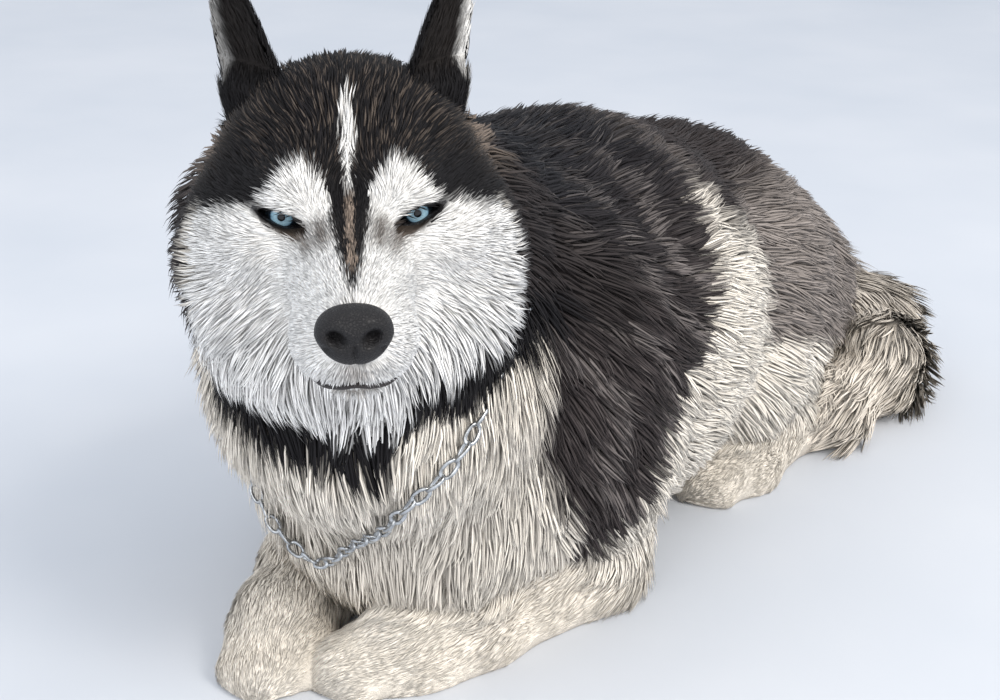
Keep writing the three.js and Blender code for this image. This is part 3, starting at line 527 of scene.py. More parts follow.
class Finish:
    """A material under construction: one shader, and any other node from one method."""

    def __init__(self, name, **constants):
        self.material = bpy.data.materials.new(name)
        self.material.use_nodes = True
        self.tree = self.material.node_tree
        self.shader = self.tree.nodes["Principled BSDF"]
        for socket, value in constants.items():
            self.shader.inputs[socket.replace("_", " ")].default_value = value

    def node(self, kind, settings=None, out=0, **values):
        node = self.tree.nodes.new("ShaderNode" + kind)
        for key, value in (settings or {}).items():
            if key == "stops":
                while len(node.color_ramp.elements) < len(value):
                    node.color_ramp.elements.new(0.5)
                for element, (place, colour) in zip(node.color_ramp.elements, value):
                    element.position = place
                    element.color = (*colour, 1)
            else:
                setattr(node, key, value)
        for key, value in values.items():
            socket = node.inputs[int(key[1:])] if key[0] == "i" and key[1:].isdigit() else node.inputs[key]
            if isinstance(value, Sock):
                self.tree.links.new(value.out, socket)
            else:
                socket.default_value = value
        return Sock(self.tree, node.outputs[out])

    def feed(self, socket, value):
        self.tree.links.new(value.out, self.shader.inputs[socket])

    def shade(self, colour, factor):
        grey = self.node("CombineColor", i0=factor, i1=factor, i2=factor)
        return self.node("Mix", dict(data_type="RGBA", blend_type="MULTIPLY"), 2, i0=1.0, i6=colour, i7=grey)

    def bump(self, height, strength, distance):
        return self.node("Bump", Height=height, Strength=strength, Distance=distance)


def hide_finish():
    made = Finish("hide", Roughness=0.8, Specular_IOR_Level=0.1)
    hair = made.node("Attribute", dict(attribute_name="Hair"))
    at = made.node("TexCoord", out=3)
    fleck = made.node("TexNoise", dict(noise_dimensions="3D"), 0, Vector=at, Scale=900.0, Detail=3.0)
    made.feed("Base Color", made.shade(hair, fleck * 0.5 + 0.6))
    made.feed("Normal", made.bump(fleck, 0.5, 0.002))
    return made.material


skin.data.materials.append(hide_finish())
flesh = [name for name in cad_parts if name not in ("nose", "chain_collar")
         and not name.startswith(("eye_", "claw_", "ear_"))]
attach(skin, "root")
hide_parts(*flesh)

# Ears
# Thick upright blades of gristle, hollowed on the outer side, black in front and
# behind, with white hair along the outer edge.
ear_tall = 82
ear_wide = 46
ear_black = colours["cap"]
ear_inside = np.array([0.020, 0.017, 0.016])
ear_skins = []
rows = 34
turns = 40
for name, side in (("left", 1), ("right", -1)):
    t = np.linspace(-0.24, 1, rows)
    wide_at = np.interp(t, [-0.24, 0.15, 0.42, 0.68, 0.88, 1], [1.02, 1.0, 0.82, 0.55, 0.27, 0.03])
    thick_at = np.interp(t, [-0.24, 0.15, 0.42, 0.68, 0.88, 1], [0.66, 0.56, 0.42, 0.28, 0.15, 0.02])
    angle = np.linspace(0, 2 * math.pi, turns, endpoint=False)
    root = np.array([-92, side * 50, 40])
    tip = np.array([-104, side * 68, 40 + ear_tall])
    across_ear = np.array([0.75, -side * 0.66, 0]) * ear_wide / 2
    through = np.array([12, side * 17, 0])
    sin = np.sin(angle)
    cos = np.cos(angle)
    hollow = np.clip((t + 0.02) / 0.15, 0, 1)
    depth = np.where(sin[None] > 0, sin[None] * (1 - 1.45 * hollow[:, None]), sin[None])
    local = (root + t[:, None, None] * (tip - root)
             + wide_at[:, None, None] * cos[None, :, None] * across_ear
             + (thick_at[:, None] * depth)[:, :, None] * through)
    points = from_head(np.concatenate([local.reshape(-1, 3), [root - [0, 0, 20], tip]]))
    faces = [(r * turns + n, r * turns + (n + 1) % turns, (r + 1) * turns + (n + 1) % turns)
             for r in range(rows - 1) for n in range(turns)]
    faces += [(r * turns + n, (r + 1) * turns + (n + 1) % turns, (r + 1) * turns + n)
              for r in range(rows - 1) for n in range(turns)]
    last = (rows - 1) * turns
    faces += [(len(points) - 2, (n + 1) % turns, n) for n in range(turns)]
    faces += [(len(points) - 1, last + n, last + (n + 1) % turns) for n in range(turns)]
    piece = mesh_of(f"ear_{name}_leather", points, faces)
    outward(piece)
    cup = np.clip(sin * 3, 0, 1) * np.clip((t[:, None] - 0.02) / 0.1, 0, 1)
    edge = np.clip((-cos - 0.62) / 0.28, 0, 1) * np.clip(sin * 2 + 0.8, 0, 1)
    edge = edge * np.clip((1.05 - t[:, None]) / 0.3, 0, 1) * (0.9 if side > 0 else 0.35)
    colour = ear_black + cup[:, :, None] * (ear_inside - ear_black)
    colour = colour + edge[:, :, None] * (colours["white"] - colour)
    colour = np.concatenate([colour.reshape(-1, 3), np.tile(ear_black, (2, 1))])
    paint(piece, colour)
    piece.data.materials.append(skin.data.materials[0])
    ear_skins.append((points, np.array([list(face.vertices) for face in piece.data.polygons]), colour,
                      unit(from_head(tip) - from_head(root))))
    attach(piece, "root")
    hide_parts(f"ear_{name}")

# Chain's furrow
# The chain lies in a loop round the neck: bent in a V low on the chest, bare in front,
# and sunk in the ruff at the sides and behind.
chain_heart = np.array([30, -100, 205], float)
chain_front = np.array([17, -184, 93], float)
chain_left = np.array([107, -120, 215], float)
chain_lowest = math.radians(-9)
front_way = unit(chain_front - chain_heart)
side_way = chain_left - chain_heart
side_way = unit(side_way - (side_way @ front_way) * front_way)
angles = np.linspace(0, 2 * math.pi, 144, endpoint=False)
past = np.degrees(np.abs(np.angle(np.exp(1j * (angles - chain_lowest)))))
bow = 0.33 * np.minimum(1, past / 38 - 0.42) * np.clip((160 - past) / 60, 0, 1)
rays = unit(np.cos(angles)[:, None] * front_way + np.sin(angles)[:, None] * side_way
            + bow[:, None] * np.cross(front_way, side_way))
to_left = np.angle(np.exp(1j * (angles - chain_lowest))) > 0
shown = np.clip((np.where(to_left, 90, 44) - past) / 16, 0, 1)
reach = np.full(len(rays), 20.0)
for _ in range(400):
    outside = hide_field(chain_heart + rays * reach[:, None]) > 11.5 * shown - 1
    reach[~outside] += 0.5
loop_points = chain_heart + rays * reach[:, None]
for _ in range(6):
    loop_points = (np.roll(loop_points, 1, 0) + 2 * loop_points + np.roll(loop_points, -1, 0)) / 4

# Coat
# Double coat of a northern dog: tufts of guard hair, each a thin closed blade of three
# sides that bends from its root and ends in a point. They follow the lie of the coat
# from nose to tail, smallest on the face and feet and longest on the ruff and tail.
rng = np.random.default_rng(417)
nose_tip = from_head([muzzle_long + 4, 0, -24])
all_forms = trunk_forms + leg_forms + toes + neck_forms + tail_forms
coat_names = list(coats)


def coat_weights(points):
    # How much each coat has of the hide at each point, by the distance to its forms
    folded = head_folded(points)
    near = {name: np.full(len(points), 1e3) for name in coat_names}
    for forms, places in ((all_forms, points), (head_forms, folded)):
        for form in forms:
            gap = distance(form, places) + coats[form["coat"]]["deep"]
            near[form["coat"]] = np.minimum(near[form["coat"]], gap)
    near["neck"] = np.minimum(near["neck"], near["cheek"] + np.clip(folded[:, 0] + 62, -40, 40) * 0.8 + 4)
    near["back"] = np.where(points[:, 2] > 215, near["side"] - 0.6 * (points[:, 2] - 225), 1e3)
    gaps = np.stack([near[name] for name in coat_names], 1)
    share = np.exp(-(gaps - gaps.min(1, keepdims=True)) / 7)
    return share / share.sum(1, keepdims=True)


def lies_of(points, normals, share):
    # The direction of the hair: back from the nose on the head, down each leg and
    # towards the tip on the tail
    lie = np.zeros_like(points)
    away = unit(points - nose_tip)
    head_lie = away - 0.25 * upward
    for n, name in enumerate(coat_names):
        if coats[name]["lie"] is not None:
            lie += share[:, n:n + 1] * unit(np.array(coats[name]["lie"], float))
        elif name in ("skull", "face", "cheek"):
            lie += share[:, n:n + 1] * unit(head_lie)
    for name in ("leg", "paw", "tail"):
        forms = [form for form in leg_forms + tail_forms if form["coat"] == name]
        gaps = np.stack([distance(form, points) for form in forms], 1)
        part = np.exp(-(gaps - gaps.min(1, keepdims=True)) / 8)
        part /= part.sum(1, keepdims=True)
        runs = np.array([unit(form["end"] - form["start"]) for form in forms])
        lie += share[:, coat_names.index(name)][:, None] * (part @ runs)
    lie -= (lie * normals).sum(1, keepdims=True) * normals
    return unit(lie)


def amount(share, key):
    return share @ np.array([coats[name][key] for name in coat_names], float)


tuft_total = 108000
ear_tufts = 4200
triangles = np.concatenate([hide_faces[:, :3], hide_faces[:, [0, 2, 3]]])
corner = hide_points[triangles]
area = np.linalg.norm(np.cross(corner[:, 1] - corner[:, 0], corner[:, 2] - corner[:, 0]), axis=1) / 2
middle = corner.mean(1)
share = coat_weights(middle)
cover = 1 / (amount(share, "wide") * amount(share, "long")) ** 0.85
folded = head_folded(middle)
bare = ((almond(folded) < 0.22) & (np.abs(folded[:, 0] + 6) < 20)) | (middle[:, 2] < 1.2)
bare |= (folded[:, 0] > muzzle_long - 9) & (np.abs(folded[:, 2] + 21) < 13) & (folded[:, 1] < 17)
bare |= (folded[:, 0] > 66) & (np.abs(folded[:, 2] - mouth_height(folded[:, 0]) - 1.2) < 2.8)
odds = area * cover * ~bare
picks = rng.choice(len(triangles), tuft_total, p=odds / odds.sum())
mixes = rng.random((tuft_total, 2))
flip = mixes.sum(1) > 1
mixes[flip] = 1 - mixes[flip]
roots = corner[picks, 0] + mixes[:, :1] * (corner[picks, 1] - corner[picks, 0]) \
    + mixes[:, 1:] * (corner[picks, 2] - corner[picks, 0])
normals = unit(slopes(hide_field, roots, 2.0))
share = coat_weights(roots)
lie = lies_of(roots, normals, share)
own_colour = np.full((tuft_total, 3), np.nan)
for points, faces, colour, to_tip in ear_skins:
    corner = points[faces]
    facing = np.cross(corner[:, 1] - corner[:, 0], corner[:, 2] - corner[:, 0])
    odds = np.linalg.norm(facing, axis=1)
    picks = rng.choice(len(faces), ear_tufts, p=odds / odds.sum())
    mixes = rng.dirichlet([1, 1, 1], ear_tufts)
    ear_normals = unit(facing[picks])
    to_side = rng.normal(size=(ear_tufts, 3)) * 0.05
    ear_lie = unit(to_tip - (ear_normals @ to_tip)[:, None] * ear_normals + to_side)
    roots = np.concatenate([roots, (corner[picks] * mixes[:, :, None]).sum(1)])
    normals = np.concatenate([normals, ear_normals])
    lie = np.concatenate([lie, ear_lie])
    ear_share = np.eye(len(coat_names))[coat_names.index("ear")]
    share = np.concatenate([share, np.tile(ear_share, (ear_tufts, 1))])
    own_colour = np.concatenate([own_colour, (colour[faces[picks]] * mixes[:, :, None]).sum(1)])
tuft_total = len(roots)
across = unit(np.cross(normals, lie))
draws = rng.normal(size=(tuft_total, 4)).clip(-2.2, 2.2)
long = amount(share, "long") * (1 + 0.16 * draws[:, 0])
wide = amount(share, "wide") * (1.07 + 0.2 * draws[:, 1])
rise = np.radians(amount(share, "rise") * (1 + 0.22 * draws[:, 2]))
rise *= np.clip(roots[:, 2] / 25, 0.25, 1)
sway = amount(share, "wave") * draws[:, 3]
ripple = np.sin(roots @ [0.11, 0.07, -0.05]) + np.sin(roots @ [-0.06, 0.09, 0.13] + 1.7)
sway += 1.6 * amount(share, "wave") * ripple
sunk = 0.05 * long
hanging = share[:, [coat_names.index("throat"), coat_names.index("cheek")]].sum(1)
read_at = roots + lie * (long * (0.5 + 0.3 * hanging))[:, None]
tuft_colour = hair_colours(read_at, rng.uniform(-1, 1, (tuft_total, 3)))
tuft_colour = np.where(np.isnan(own_colour), tuft_colour, own_colour)
bright = 1 + 0.1 * rng.normal(size=tuft_total).clip(-2, 2)


def spine(t):
    # The middle line of every tuft, a part t of the way from root to tip
    out = long * np.sin(rise) * (t - 0.42 * t * t) - sunk
    run = long * np.cos(rise) * t
    bend = long * sway * t * t
    return roots + normals * out[:, None] + lie * run[:, None] + across * bend[:, None]


# Neighbouring tips are drawn together, which parts the long coat into pointed locks
hearts = rng.choice(tuft_total, tuft_total // 11, replace=False)
finder = kdtree.KDTree(len(hearts))
for n, root in enumerate(roots[hearts]):
    finder.insert(root, n)
finder.balance()
heart = hearts[np.array([finder.find(root)[1] for root in roots])]
tips = spine(1.0)
pull = (tips[heart] - tips) * amount(share, "clump")[:, None]
pull *= np.minimum(1, 0.5 * long / np.maximum(np.linalg.norm(pull, axis=1), 1e-6))[:, None]
bright *= 1 + 0.09 * draws[heart, 1]


def blades(chosen, steps, widths):
    # Three-sided blades: a closed root, a ring at each step and one point for the tip
    lines = [(spine(t) + pull * t * t)[chosen] for t in steps]
    rings = []
    for ring, part in enumerate(widths):
        heading = unit(lines[ring + 1] - lines[ring])
        top = unit(np.cross(heading, across[chosen]))
        top *= np.sign((top * normals[chosen]).sum(1, keepdims=True))
        half = (wide[chosen] * part / 2)[:, None]
        rings += [lines[ring] - across[chosen] * half, lines[ring] + across[chosen] * half,
                  lines[ring] + top * half * 0.42]
    points = np.stack([*rings, lines[-1]], 1)
    points[:, :, 2] = np.maximum(points[:, :, 2], 0.25)
    faces = [(0, 2, 1)]
    last = 3 * len(widths) - 3
    for a, b in ((0, 1), (1, 2), (2, 0)):
        for ring in range(0, last, 3):
            faces += [(ring + a, ring + b, ring + 3 + b), (ring + a, ring + 3 + b, ring + 3 + a)]
        faces.append((last + a, last + b, last + 3))
    return points, np.array(faces)


# The hide laid out flat for the bake: the head, trunk, legs, and neck with tail each
# have six sheets, one for each side of the body that a place faces
sheet_rows = {"skull": 0, "face": 0, "cheek": 0, "ear": 0, "leg": 2, "paw": 2,
              "neck": 3, "throat": 3, "tail": 3}


def atlas(points, normals, rows):
    placed = (points - points.min(0)) / (points.max(0) - points.min(0))
    axis = np.abs(normals).argmax(1)
    ahead = normals[np.arange(len(normals)), axis] > 0
    flat = np.where((axis == 0)[:, None], placed[:, [1, 2]], placed[:, [0, 2]])
    flat = np.where((axis == 2)[:, None], placed[:, [0, 1]], flat)
    return (flat * 0.94 + 0.03 + np.column_stack([2 * axis + ahead, rows])) / [6, 4]


def coat_finish(name):
    made = Finish(name, Roughness=0.7, Specular_IOR_Level=0.12)
    hair = made.node("Attribute", dict(attribute_name="Hair"))
    strand = made.node("UVMap", dict(uv_map="Strand"))
    stretched = made.node("Mapping", Vector=strand, Scale=(26, 1.6, 1))
    grain = made.node("TexNoise", dict(noise_dimensions="2D"), 0, Vector=stretched, Scale=1.0, Detail=2.0)
    made.feed("Base Color", made.shade(hair, grain * 0.45 + 0.8))
    soft = made.node("Attribute", dict(attribute_name="Lay"), 1)
    true = made.node("NewGeometry", out=1)
    blend = made.node("Mix", dict(data_type="VECTOR"), 1, i0=0.72, i4=true, i5=soft)
    made.feed("Normal", made.node("VectorMath", dict(operation="NORMALIZE"), i0=blend))
    return made.material


coat_material = coat_finish("coat")
blade_kinds = {"short": ((0.0, 0.5, 1.0), (0.9, 0.8)), "long": ((0.0, 0.4, 0.76, 1.0), (0.8, 1.0, 0.6))}
rows_of_coats = np.array([sheet_rows.get(name, 1) for name in coat_names])
tuft_atlas = atlas(roots, normals, rows_of_coats[share.argmax(1)])


def lay_coat(name, chosen, kind):
    steps, widths = blade_kinds[kind]
    points, blade = blades(chosen, steps, widths)
    count, size = points.shape[:2]
    faces = (blade[None] + size * np.arange(count)[:, None, None]).reshape(-1, 3)
    piece = mesh_of(name, points.reshape(-1, 3), faces)
    down = np.append(np.repeat(steps[:-1], 3), 1.0)
    # Each tuft has a random brightness, and is painted darker towards its root: painted shade among the
    # crowded tufts.
    shade = bright[chosen][:, None] * (0.86 + 0.2 * down ** 0.7)
    paint(piece, (tuft_colour[chosen][:, None] * shade[:, :, None]).reshape(-1, 3))
    lay = piece.data.attributes.new("Lay", "FLOAT_VECTOR", "POINT")
    lay.data.foreach_set("vector", np.repeat(normals[chosen], size, 0).astype(np.float32).ravel())
    patch = np.column_stack([np.append(np.tile([0, 1, 0.5], len(widths)), 0.5), down])
    strand = piece.data.uv_layers.new(name="Strand")
    uv = (patch[None] + rng.random((count, 1, 2)) * 40).reshape(-1, 2)
    strand.data.foreach_set("uv", uv[faces.ravel()].astype(np.float32).ravel())
    baked = piece.data.uv_layers.new(name="OFBake")
    uv = (tuft_atlas[chosen][:, None] + (patch[None] - 0.5) * 0.003).reshape(-1, 2)
    baked.data.foreach_set("uv", uv[faces.ravel()].astype(np.float32).ravel())
    piece.data.materials.append(coat_material)
    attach(piece, "root")
    return piece


# Tufts that would lie over the bare part of the chain are left out
finder = kdtree.KDTree(len(loop_points))
for n, point in enumerate(loop_points):
    finder.insert(point, n)
finder.balance()
clear = np.ones(tuft_total, bool)
beside_chain = np.flatnonzero(np.linalg.norm(roots - chain_heart, axis=1) < 190)
for t in (0.35, 0.7, 1.0):
    for n, point in zip(beside_chain, (spine(t) + pull * t * t)[beside_chain]):
        at, index, far = finder.find(point)
        if far < 7.5 and shown[index] > 0.4 and (point - loop_points[index]) @ rays[index] > -2.5:
            clear[n] = False
areas = {"face": ["face"], "skull": ["skull"], "cheeks": ["cheek"], "neck": ["neck"], "throat": ["throat"],
         "chest": ["chest"], "shoulders": ["shoulder"], "back": ["back"], "sides": ["side"],
         "thighs": ["thigh"], "legs": ["leg", "paw"], "tail": ["tail"], "ears": ["ear"]}
short_coats = ("face", "skull", "cheeks", "legs", "ears")
most_tufts = {"short": 18000, "long": 11500}
coat_of_tuft = share.argmax(1)
for name, parts in areas.items():
    kind = "short" if name in short_coats else "long"
    most = most_tufts[kind]
    chosen = np.flatnonzero(clear & np.isin(coat_of_tuft, [coat_names.index(part) for part in parts]))
    chosen = chosen[np.argsort(roots[chosen, 0], kind="stable")]
    for n, some in enumerate(np.array_split(chosen, math.ceil(len(chosen) / most))):
        lay_coat(f"coat_{name}_{n + 1}", some, kind)

# Eyes
# Pale blue irises with a dark ring and a small pupil, under a clear wet cornea. The
# ball sits in its socket behind lids with black wet rims.
iris_half = 6.4


def eye_finish():
    made = Finish("eye", Roughness=0.2, Specular_IOR_Level=0.3, Coat_Weight=0.45, Coat_Roughness=0.03)
    out = made.node("Attribute", dict(attribute_name="Out"), 2)
    turn = made.node("Attribute", dict(attribute_name="Turn"), 2)
    fibres = made.node("TexNoise", dict(noise_dimensions="2D"), 0,
                       Vector=made.node("CombineXYZ", i0=turn * 14, i1=out * 1.6), Scale=1.0, Detail=4.0)
    stops = [(0.0, (0.002, 0.002, 0.003)), (0.29, (0.002, 0.002, 0.003)), (0.32, (0.30, 0.46, 0.56)),
             (0.5, (0.46, 0.70, 0.82)), (0.8, (0.34, 0.58, 0.74)), (0.92, (0.012, 0.03, 0.06)),
             (1.0, (0.01, 0.015, 0.02))]
    bands = made.node("ValToRGB", dict(stops=stops), Fac=out)
    made.feed("Base Color", made.shade(bands, fibres * 0.9 + 0.5))
    return made.material


eye_material = eye_finish()
ring_count = 26
turn_count = 40
for name, side in (("left", 1), ("right", -1)):
    polar = np.linspace(0, math.pi, ring_count)
    around = np.linspace(0, 2 * math.pi, turn_count, endpoint=False)
    flare = np.exp(-(np.sin(polar) * eye_ball / iris_half) ** 2 * 1.2) * (polar < 1.2)
    radius = eye_ball - 0.35 + 1.0 * flare
    facing = unit(np.array([1, side * 0.1, 0.02]))
    to_left = unit(np.cross([0, 0, 1], facing))
    to_up = np.cross(facing, to_left)
    rows = [radius[k] * (math.cos(polar[k]) * facing
            + math.sin(polar[k]) * (np.cos(around)[:, None] * to_left + np.sin(around)[:, None] * to_up))
            for k in range(1, ring_count - 1)]
    local = np.concatenate([[facing * radius[0]], *rows, [-facing * radius[-1]]])
    local += [-eye_ball, side * eye_span / 2, 0]
    faces = [(0, 1 + n, 1 + (n + 1) % turn_count) for n in range(turn_count)]
    last = len(local) - 1
    base = 1 + (ring_count - 3) * turn_count
    faces += [(last, base + (n + 1) % turn_count, base + n) for n in range(turn_count)]
    for k in range(ring_count - 3):
        for n in range(turn_count):
            a = 1 + k * turn_count + n
            b = 1 + k * turn_count + (n + 1) % turn_count
            faces += [(a, a + turn_count, b + turn_count), (a, b + turn_count, b)]
    piece = mesh_of(f"eyeball_{name}", from_head(local), faces)
    reach = np.concatenate([[0], np.repeat(np.sin(polar[1:-1]) * eye_ball / iris_half, turn_count), [0]])
    reach[1 + turn_count * (ring_count // 2):] = 1
    out = piece.data.attributes.new("Out", "FLOAT", "POINT")
    out.data.foreach_set("value", reach.astype(np.float32))
    turn = piece.data.attributes.new("Turn", "FLOAT", "POINT")
    spin = np.concatenate([[0], np.tile(np.abs(around - math.pi), ring_count - 2), [0]])
    turn.data.foreach_set("value", spin.astype(np.float32))
    piece.data.materials.append(eye_material)
    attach(piece, "root")
    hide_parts(f"eye_{name}")


# Lids
# A rolled black rim of bare skin round each eye, thicker above.
def leather_finish(name, colour, scale, depth, rough, coat):
    made = Finish(name, Specular_IOR_Level=0.35, Coat_Weight=coat, Coat_Roughness=0.25)
    at = made.node("TexCoord", out=3)
    cells = made.node("TexVoronoi", dict(feature="DISTANCE_TO_EDGE"), 0, Vector=at, Scale=scale)
    fine = made.node("TexNoise", None, 0, Vector=at, Scale=scale * 2.5, Detail=3.0)
    pebble = made.node("MapRange", None, 0, Value=cells, i1=0.0, i2=0.22)
    height = pebble * 0.8 + fine * 0.2
    tint = made.node("RGB")
    tint.out.default_value = (*colour, 1)
    # The leather is painted darker in the grooves between the pebbles, as painted shade, over a random fine
    # tone.
    made.feed("Base Color", made.shade(tint, pebble * 0.5 + fine * 0.5 + 0.35))
    made.feed("Roughness", fine * 0.25 + rough)
    made.feed("Normal", made.bump(height, 0.55, depth))
    return made.material


lid_material = leather_finish("lid", (0.012, 0.010, 0.011), 900.0, 0.0006, 0.25, 0.4)


def lid_ring(side, grown, out, count):
    turn = np.linspace(0, 2 * math.pi, count, endpoint=False)
    along = np.cos(turn) * (lid_half + grown)
    narrow = 1 - 0.35 * np.abs(np.cos(turn))
    high = np.sin(turn) * (lid_rise + grown) * narrow
    high = np.where(high > 0, high * 0.86, high)
    return from_head(np.column_stack([out - 0.012 * along * along, side * (eye_span / 2 + along),
                                      high + lid_slant * along]))


def loop_faces(rings, count):
    faces = []
    for r in range(rings):
        for n in range(count):
            row = r * count
            after = ((r + 1) % rings) * count
            faces.append((row + n, row + (n + 1) % count, after + (n + 1) % count, after + n))
    return faces


for name, side in (("left", 1), ("right", -1)):
    bands = [(4.2, -8), (4.0, -1.0), (3.0, 0.9), (1.6, 1.9), (0.4, 1.7), (-0.6, 0.4), (-0.9, -2), (-0.6, -8)]
    rings = [lid_ring(side, grown, out, 56) for grown, out in bands]
    piece = mesh_of(f"lids_{name}", np.concatenate(rings), loop_faces(len(rings), 56))
    outward(piece)
    piece.data.materials.append(lid_material)
    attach(piece, "root")

# Nose
# A broad blunt pad of pebbled black leather, with a comma-shaped nostril on each side
# and a groove down the middle.
nose_at = np.array([muzzle_long - 6, 0, -21])
nose_turns = 72
nose_rows = 48
polar = np.linspace(0.02, math.pi - 0.02, nose_rows)
around = np.linspace(0, 2 * math.pi, nose_turns, endpoint=False)
ball = np.stack([np.outer(np.cos(polar), np.ones(nose_turns)),
                 np.outer(np.sin(polar), np.cos(around)),
                 np.outer(np.sin(polar), np.sin(around))], -1).reshape(-1, 3)
local = np.sign(ball) * np.abs(ball) ** 0.86 * [11.5, 18.2, 14.5]
local[:, 1] *= 1 - 0.22 * np.clip(-local[:, 2] / 14, 0, 1)
local[:, 2] = np.where(local[:, 2] > 0, local[:, 2] * 0.95, local[:, 2])
front = np.clip(local[:, 0] / 8, 0, 1)
hole = np.exp(-(((np.abs(local[:, 1]) - 8.2 - 0.25 * (local[:, 2] - 1)) / 3.8) ** 2
                + ((local[:, 2] - 1.0) / 3.4) ** 2) * 1.1)
wing = np.exp(-(((np.abs(local[:, 1]) - 13) / 3) ** 2 + ((local[:, 2] + 5) / 2.0) ** 2))
groove = np.exp(-(local[:, 1] / 1.1) ** 2) * np.clip((2 - local[:, 2]) / 8, 0, 1)
local[:, 0] -= front * (9 * hole + 3 * wing + 2.2 * groove)
nose = mesh_of("nose_pad", from_head(local + nose_at), [
    (r * nose_turns + n, r * nose_turns + (n + 1) % nose_turns,
     (r + 1) * nose_turns + (n + 1) % nose_turns, (r + 1) * nose_turns + n)
    for r in range(nose_rows - 1) for n in range(nose_turns)])
close_holes(nose)
outward(nose)
nose.data.materials.append(leather_finish("nose", (0.008, 0.007, 0.008), 620.0, 0.0009, 0.42, 0.05))
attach(nose, "root")
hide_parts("nose")

# Lips
# A dark soft edge of bare skin along the closed mouth.
lip_path = [[36, 33, -51], [54, 27, -55], [76, 17, -55], [90, 8, -53], [95, 0, -51]]
lip_path += [[u, -v, w] for u, v, w in lip_path[-2::-1]]


def smooth_path(points, count):
    points = np.asarray(points, float)
    place = np.linspace(0, len(points) - 1, count)
    whole = np.minimum(place.astype(int), len(points) - 2)
    t = (place - whole)[:, None]
    before = points[np.maximum(whole - 1, 0)]
    a = points[whole]
    b = points[whole + 1]
    after = points[np.minimum(whole + 2, len(points) - 1)]
    return 0.5 * (2 * a + (b - before) * t + (2 * before - 5 * a + 4 * b - after) * t ** 2
                  + (3 * a - before - 3 * b + after) * t ** 3)


def tube(name, path, thick, sides):
    run = unit(np.gradient(path, axis=0))
    aside = unit(np.cross(run, upward))
    above = np.cross(aside, run)
    turn = np.linspace(0, 2 * math.pi, sides, endpoint=False)
    rings = [centre + thick[n] * (np.cos(turn)[:, None] * aside[n] + np.sin(turn)[:, None] * above[n])
             for n, centre in enumerate(path)]
    points = np.concatenate([*rings, path[:1], path[-1:]])
    faces = []
    for r in range(len(path) - 1):
        for n in range(sides):
            a = r * sides + n
            b = r * sides + (n + 1) % sides
            faces += [(a, b, b + sides), (a, b + sides, a + sides)]
    start = len(points) - 2
    end = len(points) - 1
    last = (len(path) - 1) * sides
    for n in range(sides):
        faces += [(start, (n + 1) % sides, n), (end, last + n, last + (n + 1) % sides)]
    piece = mesh_of(name, points, faces)
    outward(piece)
    return piece


lip_points = 61
lip_line = from_head(smooth_path(lip_path, lip_points))
fullness = np.sin(np.linspace(0, math.pi, lip_points)) ** 0.4
for _ in range(6):
    gap = blended(head_forms, head_folded(lip_line))
    lip_line = lip_line - (gap[:, None] - 0.6) * unit(slopes(hide_field, lip_line, 2.0)) * 0.8
lips = tube("lips", lip_line, 0.5 + 1.5 * fullness, 8)
lips.data.materials.append(leather_finish("lips", (0.02, 0.014, 0.014), 1100.0, 0.0004, 0.45, 0.1))
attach(lips, "root")

# Claws
# Four dark blunt claws on each foot, of horn. The solids' own claws stay, with a fine mottled grain of dark
# and paler horn.
claw = Finish("claw", Specular_IOR_Level=0.5, Coat_Weight=0.2)
at = claw.node("TexCoord", out=3)
grain = claw.node("TexNoise", None, 0, Vector=at, Scale=700.0, Detail=4.0)
horn_stops = [(0.3, (0.03, 0.022, 0.018)), (0.7, (0.13, 0.10, 0.08))]
horn = claw.node("ValToRGB", dict(stops=horn_stops), Fac=grain)
claw.feed("Base Color", horn)
claw.feed("Roughness", grain * 0.3 + 0.25)
claw.feed("Normal", claw.bump(grain, 0.3, 0.0004))
for name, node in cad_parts.items():
    if name.startswith("claw_"):
        node.data.materials.clear()
        node.data.materials.append(claw.material)

# Chain collar
# Twisted curb links of bright steel wire, laid end to end in a loop that lies on the
# coat, low on the chest and up both sides of the neck.
chain_wire = 1.25
link_long = 16.5
link_wide = 9.2
link_pitch = 11.6
route = bpy.data.curves.new("chain_route", "CURVE")
route.dimensions = "3D"
spline = route.splines.new("POLY")
spline.points.add(len(loop_points) - 1)
for point, at in zip(spline.points, loop_points):
    point.co = (*(at * mm), 1)
spline.use_cyclic_u = True
chain = bpy.data.objects.new("chain", route)
bpy.context.scene.collection.objects.link(chain)
loop_long = np.linalg.norm(np.roll(loop_points, -1, 0) - loop_points, axis=1).sum()
link_count = 2 * round(loop_long / link_pitch / 2)

# One link: an oval of round wire with a twist along it
link_rings = 28
wire_sides = 8
turn = np.linspace(0, 2 * math.pi, link_rings, endpoint=False)
half_long = link_long / 2 - chain_wire
oval = np.column_stack([np.cos(turn) * half_long, np.sin(turn) * (link_wide / 2 - chain_wire),
                        np.zeros(link_rings)])
oval[:, 0] = np.sign(oval[:, 0]) * np.abs(oval[:, 0] / (link_long / 2)) ** 0.75 * half_long
twist = oval[:, 0] / link_long * math.radians(46)
oval = np.column_stack([oval[:, 0], oval[:, 1] * np.cos(twist), oval[:, 1] * np.sin(twist)])
run = unit(np.roll(oval, -1, 0) - np.roll(oval, 1, 0))
aside = unit(np.cross(run, oval + [0, 0, 0.01]))
above = np.cross(run, aside)
wire_turn = np.linspace(0, 2 * math.pi, wire_sides, endpoint=False)[:, None]
rings = [oval[n] + chain_wire * (np.cos(wire_turn) * aside[n] + np.sin(wire_turn) * above[n])
         for n in range(link_rings)]
link = mesh_of("link", np.concatenate(rings), loop_faces(link_rings, wire_sides))
outward(link)


